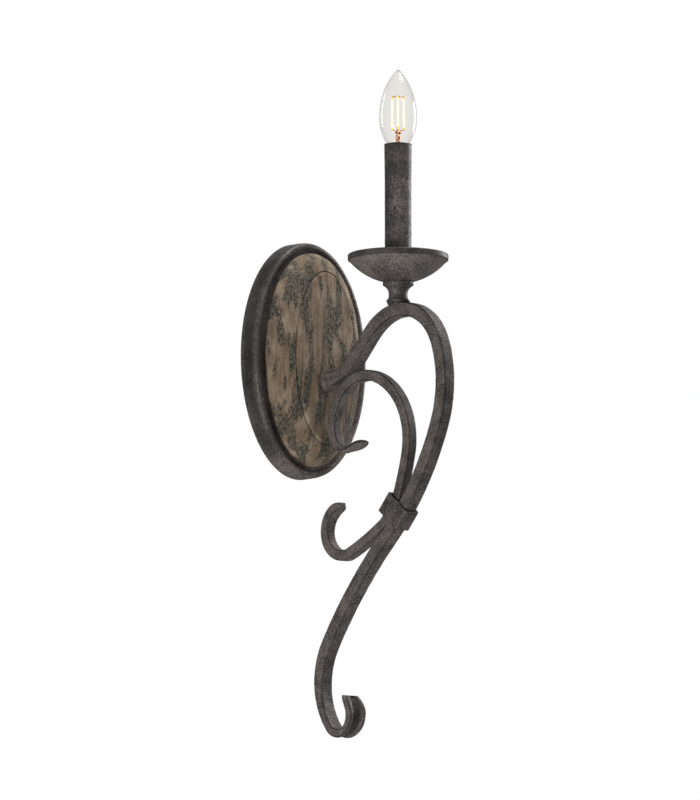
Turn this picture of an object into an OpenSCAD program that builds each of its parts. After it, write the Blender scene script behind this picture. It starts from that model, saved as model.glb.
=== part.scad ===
// Candle wall light: an oval back plate carries a forged scroll arm with one candle.
// The wall is the plane y = 0, the arm reaches towards -Y, +Z is up, and the origin
// is the centre of the back plate on the wall. All sizes are millimetres.

/* [Plaque] */
// Width of the wooden plaque
plaque_w = 114; // [108:1:126]
// Height of the wooden plaque
plaque_h = 201; // [190:1:226]
// Thickness of the plaque
plaque_t = 24; // [20:0.5:28]
// Width of the carved border round the raised field
plaque_border = 18; // [14:0.5:22]
// Depth of the carved line round the raised field
carve_depth = 1.2; // [0.6:0.1:2]

/* [Back pan] */
// Width of the pan beside the plaque
pan_side = 15.2; // [11:0.2:20]
// Height of the pan above and below the plaque
pan_end = 10.8; // [8:0.2:20]
// Depth of the pan from the wall to its crest
pan_depth = 20; // [18.5:0.5:24]
// Depth of the flat floor that the plaque sits on
pan_floor_depth = 17; // [15.5:0.5:18]
// Thickness of the pan's sheet
pan_wall = 1.2; // [0.8:0.1:1.6]
// Width of the rounded shoulder from the pan's lip to its crest
pan_shoulder = 5; // [3:0.2:6]
// Dark gap between the plaque and the sunk ring
plaque_gap = 0.8; // [0.5:0.1:1.2]

/* [Main scroll] */
// Side of the square bar of the main scroll
bar = 13; // [12:0.5:15]
// Chamfer along the bar's edges
bar_chamfer = 1.1; // [0.5:0.1:2]
// Height of the arm's foot below the middle of the pan
arm_drop = 21.5; // [15:0.5:30]
// Straight length of the foot at the plaque
foot_straight = 5.8; // [4:0.2:9]
// Height of the flared foot
foot_h = 20.5; // [18:0.5:24]
// Width of the flared foot
foot_w = 17; // [15:0.5:22]
// Bend radius where the arm leaves the plaque
foot_bend_r = 42; // [36:1:50]
// Bend angle where the arm leaves the plaque
foot_bend_a = 47; // [44:0.5:50]
// Straight length of the rising arm
rise_len = 33.5; // [28:0.5:40]
// Radius of the back of the arch
arch_back_r = 59; // [52:1:66]
// Angle of the back of the arch
arch_back_a = 30.5; // [28:0.5:33]
// Radius of the front of the arch
arch_front_r = 51; // [46:1:56]
// Angle of the front of the arch
arch_front_a = 86.5; // [84:0.5:89]
// Radius of the shoulder
shoulder_r = 108; // [98:1:118]
// Angle of the shoulder
shoulder_a = 41; // [39:0.5:43]
// Radius of the side that the collar grips
side_r = 272; // [250:2:300]
// Angle of the side that the collar grips
side_a = 25.5; // [24:0.5:27]
// Radius of the long leg
leg_r = 480; // [420:10:560]
// Angle of the long leg
leg_a = 14.5; // [13:0.5:16]
// Radius of the leg's heel
heel_r = 66; // [62:1:72]
// Angle of the leg's heel
heel_a = 71; // [68:0.5:74]
// Radius of the bottom curl
curl_r = 16; // [14:0.5:19]
// Angle of the bottom curl
curl_a = 75; // [68:1:80]
// Radius at the tip of the curl
tip_r = 17; // [15:0.5:20]
// Angle at the tip of the curl
tip_a = 87; // [78:1:92]
// Length of the last, nearly straight stretch
lip_len = 10; // [4:0.5:12]
// Angle of the last, nearly straight stretch
lip_a = 13; // [6:1:16]
// Width of the fishtail at the tip
tail_w = 21.5; // [17:0.5:26]
// Thickness of the drawn-out heel
tail_t = 8; // [6.5:0.5:10]
// Thickness at the tip
tip_t = 7.6; // [6.4:0.1:9]
// Length by which the tip's inner side outreaches its outer side
tip_reach = 7; // [0:0.5:9]
// Depth of the groove in the fishtail
groove_depth = 2.6; // [1:0.2:3.4]

/* [Inner scroll] */
// Side of the square bar of the inner scroll
slim_bar = 10; // [9:0.5:11]
// Chamfer along the slim bar's edges
slim_chamfer = 0.9; // [0.4:0.1:1.6]
// Distance along the main scroll to where both bars lie side by side
joint_station = 362; // [356:1:366]
// Length over which both bars lie side by side
joint_len = 18.8; // [16:0.2:22]
// Clearance between the bars where they lie side by side
joint_gap = 0.1; // [0.08:0.01:0.2]
// Radius of the two short bends at the joint
set_r = 10; // [9:0.5:13]
// Angle of the short bend above the joint
set_up_a = 18; // [16:0.5:20]
// Angle of the short bend below the joint
set_down_a = 12.5; // [11:0.5:15]
// Radius of the climb above the joint
climb_r = 264; // [230:2:300]
// Angle of the climb above the joint
climb_a = 10.1; // [9:0.1:12]
// Radius of the inner scroll's shoulder
crown_r = 65; // [60:1:70]
// Angle of the inner scroll's shoulder
crown_a = 81; // [76:1:84]
// Radius of the upper curl
cee_r = 42.4; // [40:0.2:46]
// Angle of the upper curl
cee_a = 131; // [124:1:134]
// Radius of the turn before the leaf
leaf_turn_r = 15.2; // [13:0.2:18]
// Angle of the turn before the leaf
leaf_turn_a = 84.5; // [76:0.5:90]
// Length of the leaf
leaf_len = 25; // [20:0.5:28]
// Angle by which the leaf bends back
leaf_back_a = 9.5; // [4:0.5:14]
// Angle by which the leaf is twisted about its length
leaf_twist = 44; // [20:1:55]
// Width of the leaf
leaf_w = 10; // [8:0.5:14]
// Thickness of the leaf
leaf_t = 4.2; // [3:0.2:6]
// Radius of the run to the lower hook
sweep_r = 300; // [260:5:340]
// Angle of the run to the lower hook
sweep_a = 9.5; // [8:0.5:11]
// Radius of the lower hook
hook_r = 23.5; // [20:0.5:26]
// Angle of the lower hook
hook_a = 193; // [176:1:200]
// Width of the hook's flattened tip
hook_tip_w = 13; // [10:0.5:16]
// Thickness of the hook's flattened tip
hook_tip_t = 8; // [6:0.2:9]

/* [Collar] */
// Distance along the main scroll to the middle of the collar
collar_station = 353.9; // [350:0.1:358]
// Length of the collar along the bars
collar_len = 20.8; // [15:0.2:22]
// Thickness of the collar's strap
collar_t = 2.2; // [1.6:0.1:2.6]
// Slack between the inner scroll and the collar
collar_slack = 3.2; // [2.6:0.1:4]
// Radius of the collar's rounded corners
collar_round = 2; // [1:0.1:2.4]

/* [Candle] */
// Distance of the candle from the wall
candle_reach = 135; // [130:0.5:140]
// Height of the turned stem above the arch
stem_h = 20.3; // [18:0.1:26]
// Radius of the stem's top flange
stem_flange_r = 14.2; // [12:0.1:17]
// Radius of the stem's waist
stem_waist_r = 8.7; // [7.5:0.1:9.4]
// Radius of the bead at the stem's foot
stem_foot_r = 11; // [10.4:0.1:13]
// Radius of the dish
dish_r = 46.4; // [38:0.2:56]
// Height of the dish from its floor to its rim
dish_h = 24.8; // [20:0.2:32]
// Height of the plain band at the dish's rim
dish_band = 5.4; // [4:0.2:8]
// Thickness of the dish's metal
dish_t = 1.6; // [1:0.1:2.2]
// Outer diameter of the candle sleeve
sleeve_d = 24.7; // [24.2:0.1:28]
// Wall of the candle sleeve
sleeve_wall = 1.2; // [0.8:0.1:1.3]
// Height of the candle sleeve
sleeve_h = 126; // [112:1:150]

/* [Bulb and socket] */
// Height of the bulb from its contact to its tip
bulb_len = 98; // [92:1:104]
// Largest diameter of the bulb's glass
bulb_d = 35; // [30:0.5:38]
// Thickness of the bulb's glass
glass_t = 0.8; // [0.5:0.1:1.2]
// Outer diameter of the bulb's cap
cap_d = 12; // [11.6:0.1:12.4]
// Height of the bulb's cap
cap_h = 15; // [13:0.5:17]
// Depth of the cap's top below the sleeve's top
cap_sink = 10; // [8:0.5:12]
// Clearance between the cap and the socket's shell
cap_gap = 0.1; // [0.05:0.01:0.1]
// Number of glowing filament rods
filament_count = 4; // [3:1:6]
// Length of a filament rod
filament_len = 31; // [24:1:34]

/* [Fixings] */
// Distance between the middles of the two slots for the box screws
box_screw_pitch = 79.4; // [70:0.1:90]
// Length of each slot for a box screw
box_slot_len = 15; // [8:0.5:20]
// Width of each slot for a box screw
box_slot_w = 4.8; // [4.3:0.1:5.5]
// Width of the mounting strap
strap_w = 28; // [24:1:34]
// Thickness of the mounting strap
strap_t = 2; // [1.5:0.1:2.5]
// Diameter of the set screws through the pan's edge
set_screw_d = 4; // [3:0.1:5]
// Outer diameter of the hollow threaded rods
nipple_d = 9.7; // [9.2:0.1:10]
// Bore of the hollow threaded rods
nipple_bore = 6.8; // [6:0.1:7]
// Diameter of an insulated lead wire
wire_d = 1.9; // [1.5:0.1:2.1]

/* [Hidden] */

// Roundness of the true circles, and number of points round each oval
$fn = 48;
oval_points = 64;
// Play between a fastener and its hole, and between a sleeve and what it slides over
play = 0.1;
slip = 0.3;

iron = "#4a4644";
wood = "#8f7d68";
steel = "#a9abad";
brass = "#b9975b";

// Angle helper: the unit vector at an angle in the arm's plane
function unit(a) = [cos(a), sin(a)];

// A state on a bar's middle line is [point, heading]. A bend is [radius, angle], and a
// radius of 0 makes a straight of that length. Positive angles turn left.
function after(s, b, f = 1) =
    b[0] == 0
        ? [s[0] + f * b[1] * unit(s[1]), s[1]]
        : let (side = sign(b[1]), centre = s[0] + side * b[0] * unit(s[1] + 90))
          [centre - side * b[0] * unit(s[1] + f * b[1] + 90), s[1] + f * b[1]];
function bend_len(b) = b[0] == 0 ? b[1] : PI / 180 * b[0] * abs(b[1]);
function at_bend(s, bends, n, i = 0) =
    i >= n ? s : at_bend(after(s, bends[i]), bends, n, i + 1);
function at_length(s, bends, d, i = 0) =
    d <= bend_len(bends[i]) || i == len(bends) - 1
        ? after(s, bends[i], d / bend_len(bends[i]))
        : at_length(after(s, bends[i]), bends, d - bend_len(bends[i]), i + 1);
// States along a run of bends, at most so many degrees and so great a chord apart
function bend_steps(b, fine) =
    b[0] == 0 ? 1 : ceil(max(abs(b[1]) / fine, bend_len(b) / longest_chord));
function trace(s, b, steps, first) = [for (i = [first:steps]) after(s, b, i / steps)];
function states(s, bends, fine, i = 0) =
    i == len(bends) ? [] : concat(
        trace(s, bends[i], bend_steps(bends[i], fine), i == 0 ? 0 : 1),
        states(after(s, bends[i]), bends, fine, i + 1));
// Part of a list, from number a up to number b
function part(list, a, b) = [for (i = [a:b]) list[i]];

// Middle line of the main scroll, from the plaque to the tip of the bottom curl
plaque_face = pan_floor_depth + plaque_t;
arm_start = [[plaque_face, -arm_drop], 0];
foot_share = 0.53;
main_bends = [
    [0, foot_straight], [foot_bend_r, foot_bend_a * foot_share],
    [foot_bend_r, foot_bend_a * (1 - foot_share)], [0, rise_len],
    [arch_back_r, -arch_back_a], [arch_front_r, -arch_front_a],
    [shoulder_r, -shoulder_a], [side_r, -side_a], [leg_r, leg_a],
    [heel_r, heel_a], [curl_r, curl_a], [tip_r, tip_a], [lip_len * 180 / PI / lip_a, lip_a]
];
foot_bends = 2;
arch_bends = 4;
plain_bends = 9;
foot_chamfer = 5;
// Degrees between the sections of the bends and of the tail, and longest chord
arc_step = 4.8;
tail_step = 6;
longest_chord = 10;

// Where the candle stands: the arch is cut by the candle's upright axis
arch_state = at_bend(arm_start, main_bends, arch_bends + 1);
arch_centre = arch_state[0] + arch_front_r * unit(arch_state[1] - 90);
arch_dy = candle_reach - arch_centre[0];
candle_turn = arch_state[1] - asin(-arch_dy / arch_front_r);
arch_top = arch_centre[1] + sqrt(pow(arch_front_r, 2) - pow(arch_dy, 2));
stem_base = arch_top + bar / 2;

// Middle lines of the inner scroll, upwards and downwards from the joint
joint_main = at_length(arm_start, main_bends, joint_station);
bar_step = (bar + slim_bar) / 2 + joint_gap;
joint_point = joint_main[0] + bar_step * unit(joint_main[1] - 90);
beside_r = side_r - bar_step;
beside_a = joint_len / 2 / beside_r * 180 / PI;
up_start = [joint_point, joint_main[1] + 180];
down_start = [joint_point, joint_main[1]];
up_bends = [
    [beside_r, beside_a], [set_r, set_up_a], [climb_r, climb_a], [crown_r, crown_a],
    [cee_r, cee_a], [leaf_turn_r, leaf_turn_a],
    [leaf_len * 180 / PI / leaf_back_a, -leaf_back_a]
];
up_plain_bends = 5;
down_bends = [
    [beside_r, -beside_a], [set_r, -set_down_a], [sweep_r, -sweep_a],
    [hook_r, -hook_a * 0.6], [hook_r, -hook_a * 0.4]
];
down_plain_bends = 4;

// Heights on the candle's axis
dish_floor = stem_base + stem_h;
dish_rim = dish_floor + dish_h;
sleeve_foot = dish_floor + dish_t;
sleeve_top = sleeve_foot + sleeve_h;
cap_top = sleeve_top - cap_sink;
contact_z = cap_top - cap_h - 3;
bulb_tip = contact_z + bulb_len;
shell_r = cap_d / 2 + cap_gap;
socket_top = cap_top - 1;
socket_foot = contact_z - 14;
socket_r = sleeve_d / 2 - sleeve_wall - 0.9;
nut_t = 3.2;
nut_across = 13.6;
bracket_t = 1;
bracket_foot = sleeve_foot + nut_t;

// Places the arm's plane, where x is the distance from the wall and y the height
module arm_plane() {
    rotate([90, 0, -90]) children();
}

// Moves children onto the candle's upright axis
module on_candle(z = 0) {
    translate([0, -candle_reach, z]) children();
}

// Joins rings of equal point counts into one closed skin; points run
// counter-clockwise as seen from the last ring
module skin(rings) {
    n = len(rings[0]);
    last = len(rings) - 1;
    points = [for (r = rings) each r];
    sides = [
        for (k = [0:last - 1], i = [0:n - 1])
            [k * n + i, (k + 1) * n + i, (k + 1) * n + (i + 1) % n, k * n + (i + 1) % n]
    ];
    ends = [[for (i = [0:n - 1]) i], [for (i = [n - 1:-1:0]) last * n + i]];
    polyhedron(points = points, faces = concat(sides, ends), convexity = 6);
}

// Section of a bar: thickness t across the bend, width w along its axis, chamfer c,
// and a groove of depth g in the outer face
function bar_points(t, w, c, g = 0) =
    let (e = w / 2 - c, f = t / 2 - c)
    [
        [t / 2, -e], [t / 2, e], [f, w / 2], [-f, w / 2],
        [-t / 2, e], [-t / 2, 0.74 * e], [g - t / 2, 0.42 * e],
        [g - t / 2, -0.42 * e], [-t / 2, -0.74 * e], [-t / 2, -e],
        [-f, -w / 2], [f, -w / 2]
    ];
function round_points(r, n) = [for (i = [0:n - 1]) r * [-sin(360 * i / n), cos(360 * i / n)]];
// Puts a section on a state of a middle line; a lean moves its inner side forwards
function place(s, section, lean = 0) = [
    for (q = section)
        let (p = s[0] + q[0] * (unit(s[1] + 90) + lean * unit(s[1]))) [p[0], p[1], q[1]]
];

// A bar of one section along a list of states
module sweep(line, section) {
    skin([for (s = line) place(s, section)]);
}

// Blend that starts and ends smoothly as f runs from 0 to 1
function ease(f) = f * f * (3 - 2 * f);
function mix(a, b, f) = a + (b - a) * f;

// Ring of an oval: half width a, half height b, at a depth from the wall
function oval(a, b, depth) = [
    for (i = [0:oval_points - 1])
        let (t = 360 * i / oval_points) [a * cos(t), -depth, b * sin(t)]
];

// Solid oval whose outline steps in as it rises: each step is [inset, depth]
module oval_loft(half_w, half_h, steps) {
    skin([for (p = steps) oval(half_w - p[0], half_h - p[0], p[1])]);
}

// The pan is as much larger than the plaque as its side and end say
pan_half_w = plaque_w / 2 + pan_side;
pan_half_h = plaque_h / 2 + pan_end;
// Rings of the pan's sheet: the shoulder from the lip to the crest steps in from the rim,
// and the sunk ring runs on to the floor's outline round the plaque
function pan_rings(wall, lip) = let (d = pan_depth, inset = pan_shoulder)
    concat(
        [for (p = [[0, lip], [0.02 * inset, 0.35 * d], [0.06 * inset, 0.65 * d],
            [0.16 * inset, 0.84 * d], [0.44 * inset, 0.96 * d], [inset, d]])
            oval(pan_half_w - wall - p[0], pan_half_h - wall - p[0],
                p[1] - wall * max(0, p[1]) / d)],
        [for (p = [[0.22, d - 0.7], [0.5, mix(d, pan_floor_depth, 0.8)], [1, pan_floor_depth]])
            oval(mix(pan_half_w - inset, plaque_w / 2 + plaque_gap, p[0]) - wall,
                mix(pan_half_h - inset, plaque_h / 2 + plaque_gap, p[0]) - wall, p[1] - wall)]);

module back_pan() {
    color(iron) difference() {
        skin(pan_rings(0, 0));
        skin(pan_rings(pan_wall, -1));
        for (side = [-1, 1]) {
            translate([0, -set_screw_y, side * pan_half_h])
                cylinder(h = 12, d = set_screw_d + 2 * play, center = true);
            translate([0, -pan_floor_depth, side * plaque_screw_z]) rotate([90, 0, 0])
                cylinder(h = 6, d = plaque_screw_d + 2 * play, center = true);
        }
        translate([0, -pan_floor_depth, -arm_drop]) rotate([90, 0, 0])
            cylinder(h = 6, d = nipple_d + 2 * slip, center = true);
    }
}

// Plaque: a convex bevelled border, a carved line and a raised field
field_rise = 3.4;
bevel_foot = 4;
plaque_steps = [
    [0, 0], [0.6, bevel_foot], [3, plaque_t * 0.42], [7, plaque_t * 0.62],
    [11.5 / 18 * plaque_border, plaque_t * 0.76],
    [plaque_border - 1.4, plaque_t - field_rise],
    [plaque_border - 0.6, plaque_t - field_rise - carve_depth],
    [plaque_border, plaque_t - field_rise + 1.2],
    [plaque_border + 1.2, plaque_t - 0.9], [plaque_border + 4, plaque_t]
];
plaque_screw_z = 58;
plaque_screw_d = 4;
plaque_screw_len = 16;

module wood_plaque() {
    color(wood) translate([0, -pan_floor_depth, 0]) difference() {
        oval_loft(plaque_w / 2, plaque_h / 2, plaque_steps);
        translate([0, 0, -arm_drop]) rotate([90, 0, 0])
            translate([0, 0, -1]) cylinder(h = plaque_t + 2, d = nipple_d + 2 * slip);
        for (side = [-1, 1]) translate([0, 0, side * plaque_screw_z]) rotate([90, 0, 0])
            translate([0, 0, -1])
                cylinder(h = plaque_screw_len + 2, d = plaque_screw_d + play);
    }
}

// Two screws from behind hold the plaque on the pan's floor
module plaque_screws() {
    head_t = 2.4;
    color(steel) for (side = [-1, 1])
        translate([0, -(pan_floor_depth - pan_wall), side * plaque_screw_z])
            rotate([90, 0, 0]) {
                cylinder(h = plaque_screw_len + pan_wall, d = plaque_screw_d);
                translate([0, 0, -head_t]) difference() {
                    cylinder(h = head_t, d = plaque_screw_d * 2);
                    translate([-plaque_screw_d, -0.5, -1]) cube([plaque_screw_d * 2, 1, 2]);
                }
            }
}

// Upright strap on the wall box; its bent ends take the set screws
set_screw_y = 6.5;
tab_depth = 12;
tab_gap = 1;
// Inside height of the pan at a distance beside its middle
pan_inset = pan_wall + 0.65 * pan_shoulder;
function pan_inside(x) = (pan_half_h - pan_inset) * sqrt(1 - pow(x / (pan_half_w - pan_inset), 2));
tab_z = pan_inside(strap_w / 2) - tab_gap;
strap_hole_d = 17;
ground_z = -62;

module mounting_strap() {
    color(steel) difference() {
        union() {
            translate([-strap_w / 2, -strap_t, -tab_z]) cube([strap_w, strap_t, 2 * tab_z]);
            for (side = [-1, 1])
                translate([-strap_w / 4, -tab_depth, side * tab_z - (side + 1) / 2 * strap_t])
                    cube([strap_w / 2, tab_depth, strap_t]);
        }
        rotate([90, 0, 0]) cylinder(h = 3 * strap_t, d = strap_hole_d, center = true);
        for (side = [-1, 1]) {
            for (end = [-1, 1])
                translate([0, 0, side * box_screw_pitch / 2
                    + end * (box_slot_len - box_slot_w) / 2]) rotate([90, 0, 0])
                    cylinder(h = 3 * strap_t, d = box_slot_w, center = true);
            translate([-box_slot_w / 2, -2 * strap_t,
                side * box_screw_pitch / 2 - (box_slot_len - box_slot_w) / 2])
                cube([box_slot_w, 3 * strap_t, box_slot_len - box_slot_w]);
            translate([0, -set_screw_y, side * tab_z])
                cylinder(h = 3 * strap_t, d = set_screw_d + play, center = true);
        }
        translate([0, 0, ground_z]) rotate([90, 0, 0])
            cylinder(h = 3 * strap_t, d = ground_screw_d + play, center = true);
    }
}

// Headless set screws, flush with the pan's edge at its top and bottom
module pan_set_screws() {
    set_screw_top = pan_half_h - 0.4;
    set_screw_len = set_screw_top - tab_z + strap_t + 1.6;
    color(iron) for (side = [0, 180]) rotate([0, side, 0])
        translate([0, -set_screw_y, set_screw_top - set_screw_len]) difference() {
            cylinder(h = set_screw_len, d = set_screw_d);
            translate([0, 0, set_screw_len - 1.5])
                cylinder(h = 2, d = set_screw_d / 2, $fn = 6);
        }
}

// Ground screw in the strap, with the bare wire hooked under its head
ground_screw_d = 4;
module ground_screw() {
    color("#3f7a46") translate([0, 0, ground_z]) rotate([90, 0, 0]) {
        cylinder(h = strap_t + ground_wire_d + 0.1, d = ground_screw_d);
        translate([0, 0, strap_t + ground_wire_d + 0.1]) difference() {
            cylinder(h = 2.6, d = 8);
            translate([-4, -0.5, 1.6]) cube([8, 1, 2]);
        }
    }
}

ground_wire_d = 1.2;
ground_loop_r = ground_screw_d / 2 + ground_wire_d / 2 + 0.15;
ground_wire_len = 30;
module ground_wire() {
    color("#b8683a") translate([0, -strap_t - ground_wire_d / 2 - 0.05, ground_z]) {
        rotate([90, 0, 0]) rotate_extrude(angle = -250)
            translate([ground_loop_r, 0]) circle(d = ground_wire_d);
        translate([ground_loop_r, 0, 0]) cylinder(h = ground_wire_len, d = ground_wire_d);
    }
}

// Hollow rod, washer and nut that hold the arm through the plaque and the pan
arm_nipple_in = 11;
washer_t = 1.5;
module arm_nipple() {
    len_y = plaque_face + arm_nipple_in - nipple_back;
    color(brass) translate([0, -nipple_back, -arm_drop]) rotate([90, 0, 0]) difference() {
        cylinder(h = len_y, d = nipple_d);
        translate([0, 0, -1]) cylinder(h = len_y + 2, d = nipple_bore);
    }
}

module arm_washer() {
    color(steel) translate([0, -(pan_floor_depth - pan_wall - washer_t), -arm_drop])
        rotate([90, 0, 0]) difference() {
            cylinder(h = washer_t, d = 24);
            translate([0, 0, -1]) cylinder(h = washer_t + 2, d = nipple_d + 2 * play);
        }
}

// Hexagonal lock nut with its hole on the z axis
module lock_nut(thickness) {
    difference() {
        cylinder(h = thickness, d = nut_across / cos(30), $fn = 6);
        translate([0, 0, -1]) cylinder(h = thickness + 2, d = nipple_d + play);
    }
}

module arm_lock_nut() {
    color(brass)
        translate([0, -(pan_floor_depth - pan_wall - washer_t - nut_t), -arm_drop])
            rotate([90, 0, 0]) lock_nut(nut_t);
}

// Wire channel inside the main scroll, from the foot to the stem
channel_d = nipple_bore;
channel_line = states(arm_start,
    concat(part(main_bends, 0, arch_bends), [[arch_front_r, -candle_turn]]), arc_step);
// Foot, plain bar and tail of the main scroll, as states of its middle line
foot_line = states(arm_start, part(main_bends, 0, foot_bends - 1), arc_step);
plain_line = states(at_bend(arm_start, main_bends, foot_bends),
    part(main_bends, foot_bends, plain_bends - 1), arc_step);
saddle_line = states(at_bend(arm_start, main_bends, arch_bends),
    part(main_bends, arch_bends, arch_bends + 1), arc_step);
tail_start = at_bend(arm_start, main_bends, plain_bends);
heel_line = states(tail_start, [main_bends[plain_bends]], tail_step);
tail_line = states(tail_start, part(main_bends, plain_bends, len(main_bends) - 1), tail_step);

function foot_section(f) =
    bar_points(mix(foot_h, bar, f), mix(foot_w, bar, f), mix(foot_chamfer, bar_chamfer, f));
// Tail section: drawn runs from 0 to 1 over the heel, end from the heel to the tip, and
// dome from 1 to 0 over the rounded end
function tail_section(drawn, end, dome) = bar_points(
    mix(mix(bar, tail_t, drawn), tip_t, end) * mix(1, dome, 0.4),
    mix(mix(bar, bar + 2.5, drawn), tail_w, ease(end)) * mix(1, dome, 0.3),
    bar_chamfer, groove_depth * ease(min(1, end * 3)) * dome);
// Lean of the tail's last sections
function tip_lean(f) = tip_reach / tip_t * ease(max(0, 4 * f - 3));
function dome_at(i, last, steps) =
    i > last - steps ? sqrt(1 - pow((i - last + steps) / (steps + 0.5), 2)) : 1;

module main_scroll() {
    foot_n = len(foot_line) - 1;
    heel_n = len(heel_line) - 1;
    tail_n = len(tail_line) - 1;
    color(iron) difference() {
        arm_plane() skin(concat(
            [for (i = [0:foot_n]) place(foot_line[i], foot_section(ease(i / foot_n)))],
            [for (i = [1:len(plain_line) - 2])
                place(plain_line[i], bar_points(bar, bar, bar_chamfer))],
            [for (i = [0:tail_n]) place(tail_line[i], tail_section(
                ease(min(1, i / heel_n)), max(0, (i - heel_n) / (tail_n - heel_n)),
                dome_at(i, tail_n, 3)), tip_lean(i / tail_n))]
        ));
        arm_plane() sweep(concat([[[plaque_face - 1, -arm_drop], 0]], channel_line),
            round_points(channel_d / 2, 20));
        on_candle(arch_top) cylinder(h = bar, d = channel_d + 1);
        translate([0, 1 - plaque_face, -arm_drop]) rotate([90, 0, 0])
            cylinder(h = arm_nipple_in + 1 + play, d = nipple_d + 2 * play);
    }
}

// Inner scroll: the climb and the leaf above the joint, the run and the hook below it
climb_line = states(up_start, part(up_bends, 0, up_plain_bends - 1), arc_step);
turn_start = at_bend(up_start, up_bends, up_plain_bends);
turn_line = states(turn_start, [up_bends[up_plain_bends]], 9);
leaf_start = after(turn_start, up_bends[up_plain_bends]);
leaf_bend = up_bends[up_plain_bends + 1];
run_line = states(down_start, part(down_bends, 0, down_plain_bends - 1), arc_step);
hook_line = states(at_bend(down_start, down_bends, down_plain_bends),
    [down_bends[down_plain_bends]], tail_step);
leaf_neck_w = 7;
leaf_steps = 10;
// A section turned about the bar's middle line
function twisted(section, a) =
    [for (q = section) [q[0] * cos(a) + q[1] * sin(a), q[1] * cos(a) - q[0] * sin(a)]];
// The bar narrows to the leaf's neck as turn runs from 0 to 1, then swells and ends round
function neck_section(turn) = twisted(bar_points(mix(slim_bar, leaf_t, turn),
    mix(slim_bar, leaf_neck_w, turn), slim_chamfer), leaf_twist * turn * turn);
function leaf_section(f) =
    let (point = sqrt(1 - 0.97 * pow(f, 5)), wide = mix(leaf_neck_w, leaf_w, sin(180 * f)) * point)
    twisted(bar_points(leaf_t * mix(1, point, 0.7), wide, min(slim_chamfer, wide / 3)), leaf_twist);
function hook_section(f, dome) = bar_points(
    mix(slim_bar, hook_tip_t, f) * mix(1, dome, 0.4),
    mix(slim_bar, hook_tip_w, f) * mix(1, dome, 0.5), slim_chamfer);
function turned_round(s) = [s[0], s[1] + 180];

module inner_scroll() {
    slim = bar_points(slim_bar, slim_bar, slim_chamfer);
    turn_n = len(turn_line) - 1;
    hook_n = len(hook_line) - 1;
    color(iron) arm_plane() skin(concat(
        [for (i = [hook_n:-1:1]) place(turned_round(hook_line[i]),
            hook_section(ease(i / hook_n), dome_at(i, hook_n, 5)))],
        [for (i = [len(run_line) - 1:-1:1]) place(turned_round(run_line[i]), slim)],
        [for (i = [0:len(climb_line) - 1]) place(climb_line[i], slim)],
        [for (i = [1:turn_n]) place(turn_line[i], neck_section(ease(i / turn_n)))],
        [for (i = [1:leaf_steps])
            place(after(leaf_start, leaf_bend, i / leaf_steps), leaf_section(i / leaf_steps))]
    ));
}

// Rectangle with round corners, a quarter turn of short chords at each
function round_corners(x0, y0, x1, y1, r) = [
    for (c = [[x1 - r, y0 + r, -90], [x1 - r, y1 - r, 0], [x0 + r, y1 - r, 90], [x0 + r, y0 + r, 180]],
        a = [0:22.5:90]) [c[0] + r * cos(c[2] + a), c[1] + r * sin(c[2] + a)]
];
// Strap wrapped round both bars, tight on the main scroll and slack on the inner one
module collar() {
    mid = at_length(arm_start, main_bends, collar_station);
    side = bar / 2 + slip;
    outer = bar / 2 + slip;
    inner = -bar / 2 - slim_bar - collar_slack;
    color(iron) arm_plane() translate(mid[0]) rotate([0, 0, mid[1]]) rotate([90, 0, 90])
        linear_extrude(collar_len, center = true) difference() {
            polygon(round_corners(inner - collar_t, -side - collar_t, outer + collar_t,
                side + collar_t, collar_round));
            translate([inner, -side]) square([outer - inner, 2 * side]);
        }
}

// Half profile of a disc with rounded edges: radius r, from height z up by h
module disc_profile(r, z, h, round) {
    translate([0, z]) square([r - round, h]);
    translate([0, z + round]) square([r, h - 2 * round]);
    for (y = [z + round, z + h - round]) translate([r - round, y]) circle(r = round);
}

// Turned stem: a neck saddled on the arch, a bead, a waist and a flange under the dish
stem_bead = 2.6;
stem_flange_t = 3.8;
stem_rest_t = 0.7;
module turned_stem() {
    foot_drop = 2;
    neck_r = stem_foot_r - 2.4;
    bead_z = 0.8;
    cove_foot = bead_z + stem_bead;
    cove_h = (stem_h - stem_rest_t - stem_flange_t - cove_foot) / 2;
    cove_top_r = stem_foot_r - 0.6;
    cove_d = cove_top_r - stem_waist_r;
    cove_r = (pow(cove_h, 2) + pow(cove_d, 2)) / (2 * cove_d);
    color(iron) difference() {
        on_candle(stem_base) rotate_extrude(convexity = 6) {
            translate([0, -foot_drop]) square([neck_r, foot_drop + bead_z + 0.5]);
            disc_profile(stem_foot_r, bead_z, stem_bead, 0.45 * stem_bead);
            difference() {
                translate([0, cove_foot - 0.5]) square([cove_top_r, 2 * cove_h + 1]);
                translate([stem_waist_r + cove_r, cove_foot + cove_h]) circle(r = cove_r, $fn = 90);
            }
            disc_profile(stem_flange_r, cove_foot + 2 * cove_h, stem_flange_t, 0.9);
            square([dish_foot_r, stem_h]);
        }
        on_candle(stem_base - foot_drop - 1) cylinder(h = foot_drop + 8, d = channel_d + 1);
        on_candle(stem_base + 5) cylinder(h = stem_h, d = nipple_d + 2 * play);
        arm_plane() sweep(saddle_line, bar_points(bar, bar, bar_chamfer));
    }
}

// Hollow rod that clamps the dish and the bracket to the stem
stem_nipple_foot = stem_base + 5.2;
module stem_nipple() {
    len_z = bracket_foot + bracket_t + nut_t + 2 - stem_nipple_foot;
    color(brass) on_candle(stem_nipple_foot) difference() {
        cylinder(h = len_z, d = nipple_d);
        translate([0, 0, -1]) cylinder(h = len_z + 2, d = nipple_bore);
    }
}

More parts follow.
